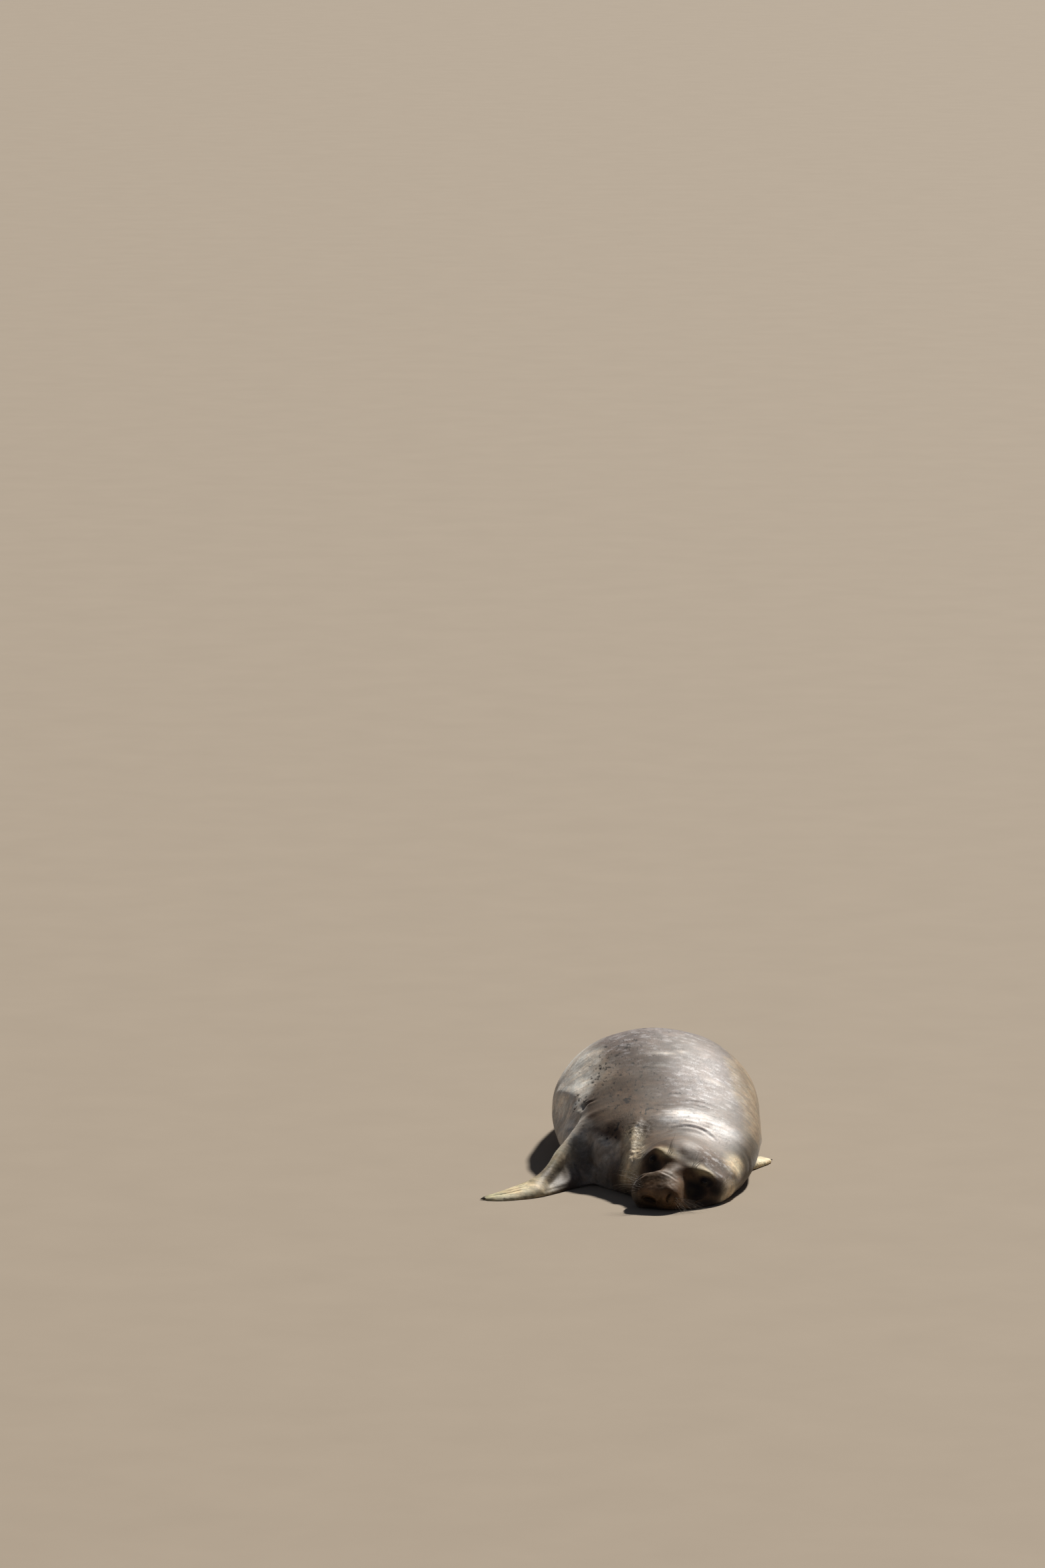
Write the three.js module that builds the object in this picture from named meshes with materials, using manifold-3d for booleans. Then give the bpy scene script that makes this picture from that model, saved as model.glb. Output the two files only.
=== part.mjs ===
// An elephant seal asleep on its belly, life size, as one still figure.
// Millimetres. +X is the side of its left flipper, +Y runs back to its tail, +Z is up, and the
// ground is z = 0. The head lies on the ground, turned a little and rolled towards its left.
import * as THREE from "three";
import { mergeVertices } from "three/addons/utils/BufferGeometryUtils.js";
import Module from "manifold-3d";

const wasm = await Module();
wasm.setup();

// Driving dimensions
const GAP = 0.3; // between pieces that meet
const AROUND = 38; // facets round the body
const HUGE = 8000; // larger than the whole animal
const BODY_BLEND = 50; // how softly the head runs into the neck
const HEAD_BLEND = 34; // how softly the masses of the head run together

// The trunk from the throat back to the root of the tail, at a few places along its length.
// x and level are the middle of its widest line, side is half its width there, and up and down
// are how far it reaches over and under that line. What lies under the ground is cut off.
const TRUNK = [
  { name: "throat", y: 170, x: 122, level: 22, side: 58, up: 28, down: 44 },
  { name: "jowl", y: 235, x: 128, level: 40, side: 122, up: 52, down: 76 },
  { name: "cheek", y: 320, x: 116, level: 58, side: 184, up: 78, down: 104 },
  { name: "nape", y: 440, x: 85, level: 84, side: 261, up: 112, down: 150 },
  { name: "neck", y: 590, x: 53, level: 102, side: 335, up: 154, down: 185 },
  { name: "shoulder", y: 780, x: 26, level: 124, side: 386, up: 194, down: 200 },
  { name: "chest", y: 1010, x: 8, level: 146, side: 407, up: 256, down: 215 },
  { name: "belly", y: 1300, x: 0, level: 158, side: 410, up: 307, down: 225 },
  { name: "loin", y: 1680, x: -3, level: 155, side: 364, up: 254, down: 212 },
  { name: "rump", y: 2040, x: -5, level: 134, side: 282, up: 184, down: 180 },
  { name: "hip", y: 2340, x: -4, level: 108, side: 196, up: 124, down: 135 },
  { name: "ankle", y: 2560, x: 0, level: 80, side: 124, up: 74, down: 96 },
  { name: "tail root", y: 2700, x: 0, level: 56, side: 62, up: 40, down: 56 },
  { name: "tail end", y: 2810, x: 0, level: 38, side: 24, up: 18, down: 22 },
];

// The head's own axes: ahead to the nose, left, and up through the crown.
const HEAD_PLACE = new THREE.Vector3(64, 300, 76);
const HEAD_TURN = THREE.MathUtils.degToRad(17); // towards its right
const HEAD_ROLL = THREE.MathUtils.degToRad(22); // onto its left cheek

// Soft masses that make the head, as ellipsoids in its own axes, and the hollows pressed in it.
// The ground lifts the left half of the muzzle, so its pads aren't level with each other.
const HEAD_MASSES = [
  { name: "skull", at: [-92, 0, 14], size: [165, 160, 134] },
  { name: "brow", at: [-8, 12, 26], size: [86, 144, 82] },
  { name: "muzzle", at: [112, -6, -10], size: [94, 96, 74] },
  { name: "right pad", at: [136, -56, -48], size: [58, 50, 52] },
  { name: "left pad", at: [134, 42, -12], size: [58, 48, 52] },
  { name: "jaw", at: [30, -14, -92], size: [120, 84, 44] },
];
const HEAD_HOLLOWS = [
  { name: "right eye", at: [72, -116, 66], size: [44, 36, 32] },
  { name: "left eye", at: [66, 144, 72], size: [46, 38, 32] },
  { name: "right of the bridge", at: [78, -92, 44], size: [34, 38, 34] },
  { name: "left cheek", at: [104, 122, 8], size: [52, 44, 46] },
];
const HOLLOW_BLEND = 30;

// The hollow between the neck and the right shoulder
const SHOULDER_HOLLOW = { at: [-310, 410, 170], size: [165, 165, 210] };
const SHOULDER_BLEND = 70;

// The flippers, from inside the body out to the tips. Each row is one place along a flipper: its
// front edge, its back edge and its thickness between them.
const RIGHT_FORE = [
  { front: [-130, 650, 60], back: [-140, 960, 270], thick: 120 },
  { front: [-215, 590, 12], back: [-222, 850, 272], thick: 108 },
  { front: [-275, 545, 6], back: [-296, 750, 222], thick: 96 },
  { front: [-335, 480, 2], back: [-362, 664, 158], thick: 84 },
  { front: [-392, 405, 0], back: [-408, 566, 96], thick: 72 },
  { front: [-440, 350, 0], back: [-452, 496, 54], thick: 60 },
  { front: [-508, 308, 0], back: [-508, 458, 26], thick: 52 },
  { front: [-580, 282, 0], back: [-562, 424, 12], thick: 42 },
  { front: [-640, 286, 2], back: [-606, 386, 6], thick: 30 },
  { front: [-672, 318, 6], back: [-640, 356, 6], thick: 18 },
];
const LEFT_FORE = [
  { front: [250, 700, 60], back: [170, 830, 90], thick: 90 },
  { front: [326, 780, 26], back: [226, 860, 40], thick: 78 },
  { front: [378, 870, 14], back: [280, 922, 20], thick: 58 },
  { front: [418, 946, 8], back: [320, 990, 12], thick: 46 },
  { front: [452, 1010, 6], back: [356, 1050, 8], thick: 36 },
  { front: [464, 1052, 8], back: [392, 1086, 8], thick: 22 },
];
const HIND = [
  { front: [20, 2560, 60], back: [110, 2560, 60], thick: 90 },
  { front: [22, 2680, 40], back: [124, 2672, 40], thick: 70 },
  { front: [22, 2800, 22], back: [156, 2790, 22], thick: 50 },
  { front: [18, 2920, 12], back: [206, 2904, 12], thick: 34 },
  { front: [20, 3010, 8], back: [236, 2990, 8], thick: 22 },
];
const DIGITS = 5;
const WEB_SCALLOP = 10; // how far the web steps back between two digits
const HIND_NOTCH = 70; // how far the middle of a hind flipper steps back from its two long digits
const HAND = [0.55, 0.95]; // the digits rise out of the flipper between these shares of its length
const TIP = { from: 0.9, width: 0.35, thick: 0.2 }; // its rounded end, and what is left of it there

// Eyes, claws and tail
// An eye's size, how deep its middle lies, and the two ways out to the eyes from the head's middle
const EYE = {
  radius: 27,
  sunk: 16,
  facets: 16,
  rings: 10,
  right: [30, -150, 84],
  left: [30, 148, 76],
};
// A claw's size, its place on the flipper, and how far it curves down for its length
const CLAW = {
  length: 30,
  width: 9,
  sunk: 9,
  along: 0.93,
  spread: 0.9,
  rise: 0.25,
  droop: 0.22,
  facets: 6,
  rings: 5,
};

// Where the flesh is parted: the head by planes square to its own axis, the rest square to Y
const SNOUT_BACK = 84;
const NECK_FRONT = -172;
const MOUTH = { level: -56, slope: -0.04, back: -64 };
const TRUNK_CUTS = { neck: 680, chest: 1150, belly: 1960, hips: 2640 };

// Colour and roughness of each part of the coat, the claws and the eyes
const FINISHES = {
  snout: [0x615040, 0.6],
  head: [0x6e5d4e, 0.65],
  lower_jaw: [0x6a5a4b, 0.65],
  neck: [0x7d6f64, 0.7],
  chest: [0x8a7d72, 0.7],
  belly: [0x94887c, 0.7],
  hips: [0x8f8377, 0.7],
  tail: [0x7a6c5f, 0.7],
  hind_flipper: [0x75685c, 0.6],
  fore_flipper: [0xb5a486, 0.6],
  upper_arm: [0x94877a, 0.65],
  claw: [0x2b241f, 0.4],
  eye: [0x1c1814, 0.15],
};
const WRISTS = {
  right: { at: [-452, 430, 20], along: 0.56 },
  left: { at: [338, 900, 16], along: 0.4 },
};

function makeHeadFrame() {
  const ahead = new THREE.Vector3(-Math.sin(HEAD_TURN), -Math.cos(HEAD_TURN), 0);
  const side = new THREE.Vector3(Math.cos(HEAD_TURN), -Math.sin(HEAD_TURN), 0);
  const rise = new THREE.Vector3(0, 0, 1);
  const [upright, over] = [Math.cos(HEAD_ROLL), Math.sin(HEAD_ROLL)];
  const left = side.clone().multiplyScalar(upright).addScaledVector(rise, -over);
  const up = rise.clone().multiplyScalar(upright).addScaledVector(side, over);
  return new THREE.Matrix4().makeBasis(ahead, left, up).setPosition(HEAD_PLACE);
}

const HEAD_FRAME = makeHeadFrame();
const TO_HEAD = HEAD_FRAME.clone().invert();

const UP = new THREE.Vector3(0, 0, 1);
const HEAD_AHEAD = new THREE.Vector3(1, 0, 0).transformDirection(HEAD_FRAME);
const HEAD_BACK = HEAD_AHEAD.clone().negate();
const TRUNK_BACK = new THREE.Vector3(0, 1, 0);
const TRUNK_AHEAD = TRUNK_BACK.clone().negate();

function headPoint(ahead, left, up) {
  return new THREE.Vector3(ahead, left, up).applyMatrix4(HEAD_FRAME);
}

// Smooth curves through the rows of the trunk
const trunkCurve = new THREE.CubicInterpolant(
  TRUNK.map((row) => row.y),
  TRUNK.flatMap((row) => [row.x, row.level, row.side, row.up, row.down]),
  5,
);

function trunkAt(y) {
  const [x, level, side, up, down] = trunkCurve.evaluate(y);
  return { x, level, side, up, down };
}

// About the distance from a point to an ellipse or ellipsoid: less than zero inside
function roundDistance(offsets, sizes) {
  const scaled = Math.hypot(...offsets.map((offset, i) => offset / sizes[i]));
  const slope = Math.hypot(...offsets.map((offset, i) => offset / (sizes[i] * sizes[i])));
  return slope < 1e-9 ? -Math.min(...sizes) : (scaled * (scaled - 1)) / slope;
}

function trunkDistance(point) {
  const ends = [TRUNK[0].y, TRUNK[TRUNK.length - 1].y];
  const row = trunkAt(THREE.MathUtils.clamp(point.y, ...ends));
  const rise = point.z - row.level;
  const inside = roundDistance([point.x - row.x, rise], [row.side, rise > 0 ? row.up : row.down]);
  const beyond = Math.max(ends[0] - point.y, point.y - ends[1], 0);
  return inside + beyond;
}

// The smaller of two distances, with the corner between them rounded
function softMin(a, b, blend) {
  const mix = Math.max(blend - Math.abs(a - b), 0) / blend;
  return Math.min(a, b) - (mix * mix * blend) / 4;
}

function massDistance({ at, size }, { x, y, z }) {
  return roundDistance([x - at[0], y - at[1], z - at[2]], size);
}

// What is left of a shape once a hollow is pressed in it
function pressedIn(shape, hollow, blend) {
  return -softMin(-shape, hollow, blend);
}

function headDistance(point) {
  const local = point.clone().applyMatrix4(TO_HEAD);
  const masses = HEAD_MASSES.map((mass) => massDistance(mass, local));
  const hollows = HEAD_HOLLOWS.map((hollow) => massDistance(hollow, local));
  const solid = masses.reduce((a, b) => softMin(a, b, HEAD_BLEND));
  return hollows.reduce((shape, hollow) => pressedIn(shape, hollow, HOLLOW_BLEND), solid);
}

function fleshDistance(point) {
  const trunk = pressedIn(trunkDistance(point), massDistance(SHOULDER_HOLLOW, point), SHOULDER_BLEND);
  return softMin(trunk, headDistance(point), BODY_BLEND);
}

// The place on the skin that is first met going out from a point inside the body
function skinFrom(start, direction, grow) {
  const step = 12;
  let near = 0;
  let far = step;
  while (fleshDistance(start.clone().addScaledVector(direction, far)) < 0 && far < HUGE) {
    near = far;
    far += step;
  }
  for (let i = 0; i < 20; i += 1) {
    const middle = (near + far) / 2;
    if (fleshDistance(start.clone().addScaledVector(direction, middle)) < 0) near = middle;
    else far = middle;
  }
  return start.clone().addScaledVector(direction, near + grow);
}

// A closed solid from a sphere's mesh, with place(along, around) giving each point. Both run
// from 0 to 1, and along = 0 and along = 1 are single points.
function mappedSphere(facets, rings, place) {
  const geometry = new THREE.SphereGeometry(1, facets, rings);
  const { position, uv } = geometry.attributes;
  for (let i = 0; i < position.count; i += 1) {
    const along = 1 - uv.getY(i);
    const around = Math.round(uv.getX(i) * facets) % facets;
    const point = place(along, around / facets);
    position.setXYZ(i, point.x, point.y, point.z);
  }
  return geometry;
}

// Six times the volume that a mesh holds: less than zero where its faces point inwards
function sixVolumes(places, corners) {
  const point = (i) => new THREE.Vector3().fromArray(places, corners[i] * 3);
  let sum = 0;
  for (let i = 0; i < corners.length; i += 3) {
    sum += point(i).dot(point(i + 1).cross(point(i + 2)));
  }
  return sum;
}

function toSolid(geometry) {
  const bare = geometry.clone();
  bare.deleteAttribute("normal");
  bare.deleteAttribute("uv");
  const welded = mergeVertices(bare, 1e-4);
  const places = new Float32Array(welded.attributes.position.array);
  const corners = new Uint32Array(welded.index.array);
  if (sixVolumes(places, corners) < 0) corners.reverse();
  return new wasm.Manifold(new wasm.Mesh({ numProp: 3, vertProperties: places, triVerts: corners }));
}

function toGeometry(solid) {
  const mesh = solid.getMesh();
  const geometry = new THREE.BufferGeometry();
  const { numProp, vertProperties } = mesh;
  const places = new Float32Array((vertProperties.length / numProp) * 3);
  for (let i = 0; i < places.length / 3; i += 1) {
    places.set(vertProperties.subarray(i * numProp, i * numProp + 3), i * 3);
  }
  geometry.setAttribute("position", new THREE.BufferAttribute(places, 3));
  geometry.setIndex(new THREE.BufferAttribute(new Uint32Array(mesh.triVerts), 1));
  return geometry;
}

// The line inside the body from which its skin is found: from the middle of the muzzle back
const SPINE = new THREE.CatmullRomCurve3([
  headPoint(105, 0, -22),
  headPoint(0, 0, -4),
  new THREE.Vector3(78, 430, 104),
  new THREE.Vector3(52, 600, 138),
  new THREE.Vector3(20, 860, 178),
  new THREE.Vector3(0, 1300, 200),
  new THREE.Vector3(0, 1800, 172),
  new THREE.Vector3(0, 2300, 108),
  new THREE.Vector3(0, 2690, 58),
]);
// The rings turn from square to the head to square to the trunk between these places along y
const RING_TURN = [200, 900];

// How the rings of the body's mesh are shared out: fans at the nose and tail, and three stretches
const NOSE_RINGS = 7;
const TAIL_RINGS = 3;
const STRETCHES = [
  { to: 0.125, rings: 15 },
  { to: 0.28, rings: 9 },
  { to: 1, rings: 22 },
];
const SPINE_RINGS = STRETCHES.reduce((sum, { rings }) => sum + rings, 0);
const BODY_RINGS = NOSE_RINGS + SPINE_RINGS + TAIL_RINGS;

// The part of the spine's length at a ring counted from the end of the nose fan
function spineShare(ring) {
  let left = ring;
  let from = 0;
  for (const { to, rings } of STRETCHES) {
    if (left <= rings) return from + ((to - from) * left) / rings;
    left -= rings;
    from = to;
  }
  return 1;
}

function bodyPoint(along, around, grow) {
  const ring = along * BODY_RINGS;
  const start = SPINE.getPointAt(spineShare(THREE.MathUtils.clamp(ring - NOSE_RINGS, 0, SPINE_RINGS)));
  const turned = THREE.MathUtils.smoothstep(start.y, ...RING_TURN);
  const back = HEAD_BACK.clone().lerp(TRUNK_BACK, turned).normalize();
  const left = new THREE.Vector3().crossVectors(UP, back).normalize();
  const up = new THREE.Vector3().crossVectors(back, left).normalize();
  if (up.z < 0) up.negate();
  const angle = around * 2 * Math.PI;
  const out = left.multiplyScalar(Math.cos(angle)).addScaledVector(up, Math.sin(angle));
  const nose = Math.max(1 - ring / NOSE_RINGS, 0) * (Math.PI / 2);
  const tail = Math.max(1 - (BODY_RINGS - ring) / TAIL_RINGS, 0) * (Math.PI / 2);
  const lean = tail - nose;
  out.multiplyScalar(Math.cos(lean)).addScaledVector(back, Math.sin(lean));
  return skinFrom(start, out, grow);
}

function makeBody(grow) {
  return toSolid(mappedSphere(AROUND, BODY_RINGS, (along, around) => bodyPoint(along, around, grow)));
}

// All the room on one side of a plane through a point
function roomBeyond(point, towards) {
  const turn = new THREE.Quaternion().setFromUnitVectors(UP, towards);
  const box = new THREE.BoxGeometry(HUGE, HUGE, HUGE).translate(0, 0, HUGE / 2).applyQuaternion(turn);
  return toSolid(box.translate(point.x, point.y, point.z));
}

// What a solid has on one side of a plane, half a gap clear of it
function sideOf(solid, point, towards) {
  return solid.intersect(roomBeyond(point.clone().addScaledVector(towards, GAP / 2), towards));
}

const ABOVE_GROUND = roomBeyond(new THREE.Vector3(0, 0, 0), UP);

// A flipper's rows as smooth curves, from its root at along = 0 to its tip at along = 1
class Flipper {
  constructor(rows, { facets, rings, notch, ridges, mirror = 1 }) {
    Object.assign(this, { rows, facets, rings, notch, ridges });
    const numbers = rows.flatMap(({ front, back, thick }) => [
      front[0] * mirror, front[1], front[2], back[0] * mirror, back[1], back[2], thick,
    ]);
    this.curve = new THREE.CubicInterpolant(rows.map((row, i) => i / (rows.length - 1)), numbers, 7);
  }

  rowAt(along) {
    const row = Array.from(this.curve.evaluate(along));
    const front = new THREE.Vector3(...row.slice(0, 3));
    const back = new THREE.Vector3(...row.slice(3, 6));
    const middle = front.clone().add(back).multiplyScalar(0.5);
    return { middle, chord: front.sub(back).multiplyScalar(0.5), half: row[6] / 2 };
  }

  // The way out to the tip
  way(along) {
    const step = 0.01;
    const near = this.rowAt(Math.max(along - step, 0)).middle;
    return this.rowAt(Math.min(along + step, 1)).middle.sub(near).normalize();
  }

  // across runs from -1 at the back edge to 1 at the front edge, and rise from -1 below to 1 on top
  place(along, across, rise) {
    const { middle, chord, half } = this.rowAt(along);
    const way = this.way(along);
    const over = new THREE.Vector3().crossVectors(chord, way).normalize();
    if (over.z < 0) over.negate();
    const nearTip = Math.max(along - TIP.from, 0) / (1 - TIP.from);
    const round = Math.sqrt(1 - nearTip * nearTip);
    const hand = THREE.MathUtils.smoothstep(along, ...HAND);
    const digit = 0.5 - 0.5 * Math.cos((across + 1) * Math.PI * DIGITS);
    const ridge = 1 + hand * this.ridges * (digit - 0.5);
    const stepBack = this.notch * (1 - across * across) + WEB_SCALLOP * (1 - digit);
    return middle
      .addScaledVector(chord, across * THREE.MathUtils.lerp(TIP.width, 1, round))
      .addScaledVector(over, rise * half * ridge * THREE.MathUtils.lerp(TIP.thick, 1, round))
      .addScaledVector(way, -hand * stepBack);
  }

  solid() {
    const skin = mappedSphere(this.facets, this.rings, (along, around) => {
      const angle = around * 2 * Math.PI;
      const end = along === 0 || along === 1 ? 0 : 1;
      return this.place(along, end * Math.cos(angle), end * Math.sin(angle));
    });
    return toSolid(skin);
  }
}

const FLIPPERS = {
  right: new Flipper(RIGHT_FORE, { facets: 24, rings: 18, notch: 0, ridges: 0.3 }),
  left: new Flipper(LEFT_FORE, { facets: 24, rings: 12, notch: 0, ridges: 0.3 }),
  hindRight: new Flipper(HIND, { facets: 22, rings: 11, notch: HIND_NOTCH, ridges: 0.35, mirror: -1 }),
  hindLeft: new Flipper(HIND, { facets: 22, rings: 11, notch: HIND_NOTCH, ridges: 0.35 }),
};

// A curved claw that grows out of the end of a digit
function makeClaw(flipper, digit, grow) {
  const across = (((digit + 0.5) / DIGITS) * 2 - 1) * CLAW.spread;
  const way = flipper.way(1);
  const root = flipper.place(CLAW.along, across, CLAW.rise).addScaledVector(way, -CLAW.sunk);
  const side = new THREE.Vector3().crossVectors(way, UP).normalize();
  const skin = mappedSphere(CLAW.facets, CLAW.rings, (along, around) => {
    const angle = around * 2 * Math.PI;
    const swell = Math.sqrt(1 - along) * Math.min(along * CLAW.rings, 1);
    const thick = (CLAW.width / 2 + grow) * swell;
    const drop = CLAW.droop * CLAW.length * along * along;
    return root
      .clone()
      .addScaledVector(way, along * (CLAW.length + grow) - (along === 0 ? grow : 0))
      .addScaledVector(UP, Math.sin(angle) * thick - drop)
      .addScaledVector(side, Math.cos(angle) * thick);
  });
  return toSolid(skin);
}

// The middle of an eyeball: sunk a little under the skin of the hollow it lies in
function eyeMiddle(side) {
  const from = headPoint(0, 0, 0);
  const out = headPoint(...EYE[side]).sub(from).normalize();
  return skinFrom(from, out, -EYE.sunk);
}

function makeEye(side, grow) {
  const middle = eyeMiddle(side);
  const ball = new THREE.SphereGeometry(EYE.radius + grow, EYE.facets, EYE.rings);
  return toSolid(ball.translate(middle.x, middle.y, middle.z));
}

const group = new THREE.Group();

// ending is what tells a piece from others of its kind, such as its side
function addPiece(kind, solid, ending = "") {
  const name = kind + ending;
  const [color, roughness] = FINISHES[kind];
  const material = new THREE.MeshStandardMaterial({ color, roughness, metalness: 0 });
  const mesh = new THREE.Mesh(toGeometry(solid), material);
  mesh.name = name;
  group.add(mesh);
}

// The body is made whole and then parted
const body = makeBody(0)
  .intersect(ABOVE_GROUND)
  .subtract(makeEye("right", GAP))
  .subtract(makeEye("left", GAP));
const grownBody = makeBody(2 * GAP);

const nape = headPoint(NECK_FRONT, 0, 0);
const snoutBack = headPoint(SNOUT_BACK, 0, 0);
const face = sideOf(body, nape, HEAD_AHEAD);
const behindSnout = sideOf(face, snoutBack, HEAD_BACK);
addPiece("snout", sideOf(face, snoutBack, HEAD_AHEAD));

// The jaw lies under the line of the mouth, ahead of the mouth's corner
const mouthCorner = headPoint(MOUTH.back, 0, MOUTH.level);
const mouthDown = new THREE.Vector3(MOUTH.slope, 0, -1).normalize().transformDirection(HEAD_FRAME);

function jawRoom(clear) {
  const under = roomBeyond(mouthCorner.clone().addScaledVector(mouthDown, clear), mouthDown);
  return under.intersect(roomBeyond(mouthCorner.clone().addScaledVector(HEAD_AHEAD, clear), HEAD_AHEAD));
}

addPiece("head", behindSnout.subtract(jawRoom(-GAP / 2)));
addPiece("lower_jaw", behindSnout.intersect(jawRoom(GAP / 2)));

let rest = sideOf(body, nape, HEAD_BACK);
for (const [name, y] of Object.entries(TRUNK_CUTS)) {
  const cut = new THREE.Vector3(0, y, 0);
  addPiece(name, sideOf(rest, cut, TRUNK_AHEAD));
  rest = sideOf(rest, cut, TRUNK_BACK);
}

addPiece("tail", rest);

// What a flipper shows outside the body and above the ground
function limbOf(flipper) {
  return flipper.solid().intersect(ABOVE_GROUND).subtract(grownBody);
}

addPiece("hind_flipper", limbOf(FLIPPERS.hindRight), "_right");
addPiece("hind_flipper", limbOf(FLIPPERS.hindLeft), "_left");

for (const side of ["right", "left"]) {
  const flipper = FLIPPERS[side];
  let limb = limbOf(flipper);
  for (let digit = 0; digit < DIGITS; digit += 1) {
    limb = limb.subtract(makeClaw(flipper, digit, GAP));
    addPiece("claw", makeClaw(flipper, digit, 0).intersect(ABOVE_GROUND), `_${side}_${DIGITS - digit}`);
  }
  const wrist = new THREE.Vector3(...WRISTS[side].at);
  const way = flipper.way(WRISTS[side].along);
  addPiece("fore_flipper", sideOf(limb, wrist, way), `_${side}`);
  addPiece("upper_arm", sideOf(limb, wrist, way.clone().negate()), `_${side}`);
  addPiece("eye", makeEye(side, 0), `_${side}`);
}

// The origin is on the ground under the middle of the figure
const middle = new THREE.Box3().setFromObject(group).getCenter(new THREE.Vector3());
group.position.set(-Math.round(middle.x * 10) / 10, -Math.round(middle.y * 10) / 10, 0);
group.updateMatrixWorld(true);

export default group;
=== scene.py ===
"""Looks of a sleeping elephant seal, life size: skin, short coat, whiskers, eyes and claws.

Meshes are in metres in the frame's own axes: +X to the side of its left flipper, +Y back to the
tail, +Z up, with the ground at z = 0. The head has axes of its own, ahead, left and up. Sizes and
places of folds, hollows, markings and hairs are written in millimetres.
"""

from __future__ import annotations

import logging
import math
from dataclasses import dataclass, field, replace
from enum import Enum

import bmesh
import bpy
import numpy as np
from bpy.types import ID, Material, Mesh, Node, NodeSocket, NodeTree, Object
from mathutils import Matrix, Vector, noise
from mathutils.bvhtree import BVHTree

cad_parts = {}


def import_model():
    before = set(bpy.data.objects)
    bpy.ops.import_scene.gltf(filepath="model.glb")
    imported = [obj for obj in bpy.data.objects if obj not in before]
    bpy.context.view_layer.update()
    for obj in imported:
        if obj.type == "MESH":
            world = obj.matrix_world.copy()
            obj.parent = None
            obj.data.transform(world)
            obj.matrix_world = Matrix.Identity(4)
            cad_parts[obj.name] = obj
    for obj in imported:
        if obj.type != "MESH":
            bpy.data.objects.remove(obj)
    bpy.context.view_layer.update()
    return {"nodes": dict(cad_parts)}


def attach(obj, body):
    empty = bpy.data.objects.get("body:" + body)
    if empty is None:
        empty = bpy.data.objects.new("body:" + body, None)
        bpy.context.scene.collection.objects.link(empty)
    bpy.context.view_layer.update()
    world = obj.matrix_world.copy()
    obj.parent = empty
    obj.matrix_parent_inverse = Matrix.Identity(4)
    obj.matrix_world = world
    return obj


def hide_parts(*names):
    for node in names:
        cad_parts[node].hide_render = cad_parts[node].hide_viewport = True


log = logging.getLogger("elephant_seal")

Array = np.ndarray
# Two numbers, such as the ends of a span, three along the axes, and a colour in linear light
Pair = tuple[float, float]
Triple = tuple[float, float, float]
Colour = tuple[float, float, float, float]

MM = 0.001

# How far smoothing takes a vertex towards its neighbours, and back out where the size is kept
PULL_IN = 0.5
PUSH_OUT = -0.52
# The heights in metres between which a shape that is pressed in the skin fades in
PRESS_RISE = (0.003, 0.022)


def smooth_step(value: Array, low: float, high: float) -> Array:
    """Rises smoothly from 0 at low to 1 at high."""
    share = np.clip((value - low) / (high - low), 0.0, 1.0)
    return share * share * (3.0 - 2.0 * share)


def unit(vectors: Array) -> Array:
    """The same vectors at length 1."""
    lengths = np.linalg.norm(vectors, axis=-1, keepdims=True)
    return vectors / np.maximum(lengths, 1e-12)


def read_all(items: object, name: str, columns: int, kind: type = np.float32) -> Array:
    """Reads one property of all items of a mesh.

    Args:
        items: The mesh's vertices, edges or the like.
        name: The property.
        columns: How many numbers each item has.
        kind: The kind of number.

    Returns:
        One row for each item.
    """
    values = np.zeros(len(items) * columns, kind)
    items.foreach_get(name, values)
    return values.reshape(-1, columns)


def add_object(name: str, data: ID) -> Object:
    """Makes an object of a mesh, light or camera, in the scene."""
    made = bpy.data.objects.new(name, data)
    bpy.context.scene.collection.objects.link(made)
    return made


@dataclass(frozen=True)
class Picture:
    """How the reference picture was taken, as fitted to the animal.

    A pixel is given as (across, down) in the picture's own frame.
    """

    width: int = 1568
    height: int = 2352
    focal: float = 11200.0
    distance: float = 28.0
    elevation: float = math.radians(12.0)
    aim_pixel: Pair = (987.0, 1826.0)
    aim_place: Triple = (0.1042, -1.5327, 0.0)
    sensor: float = 36.0
    furthest: float = 200.0

    def location(self) -> Vector:
        """Where the camera stands."""
        back = Vector((0.0, -math.cos(self.elevation), math.sin(self.elevation)))
        return Vector(self.aim_place) + back * self.distance

    def turn(self) -> Matrix:
        """The camera's rotation: aimed so that the aim place falls on the aim pixel."""
        across = math.atan((self.aim_pixel[0] - self.width / 2) / self.focal)
        down = math.atan((self.aim_pixel[1] - self.height / 2) / self.focal)
        tilt = math.radians(90.0) - self.elevation + down
        return Matrix.Rotation(across, 3, "Z") @ Matrix.Rotation(tilt, 3, "X")

    def make_camera(self) -> None:
        """Makes the scene's camera with the picture's framing."""
        data = bpy.data.cameras.new("camera")
        data.sensor_fit = "AUTO"
        data.sensor_width = self.sensor
        data.lens = self.focal * self.sensor / self.height
        data.clip_end = self.furthest
        camera = add_object("camera", data)
        camera.matrix_world = Matrix.Translation(self.location()) @ self.turn().to_4x4()
        bpy.context.scene.camera = camera


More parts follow.
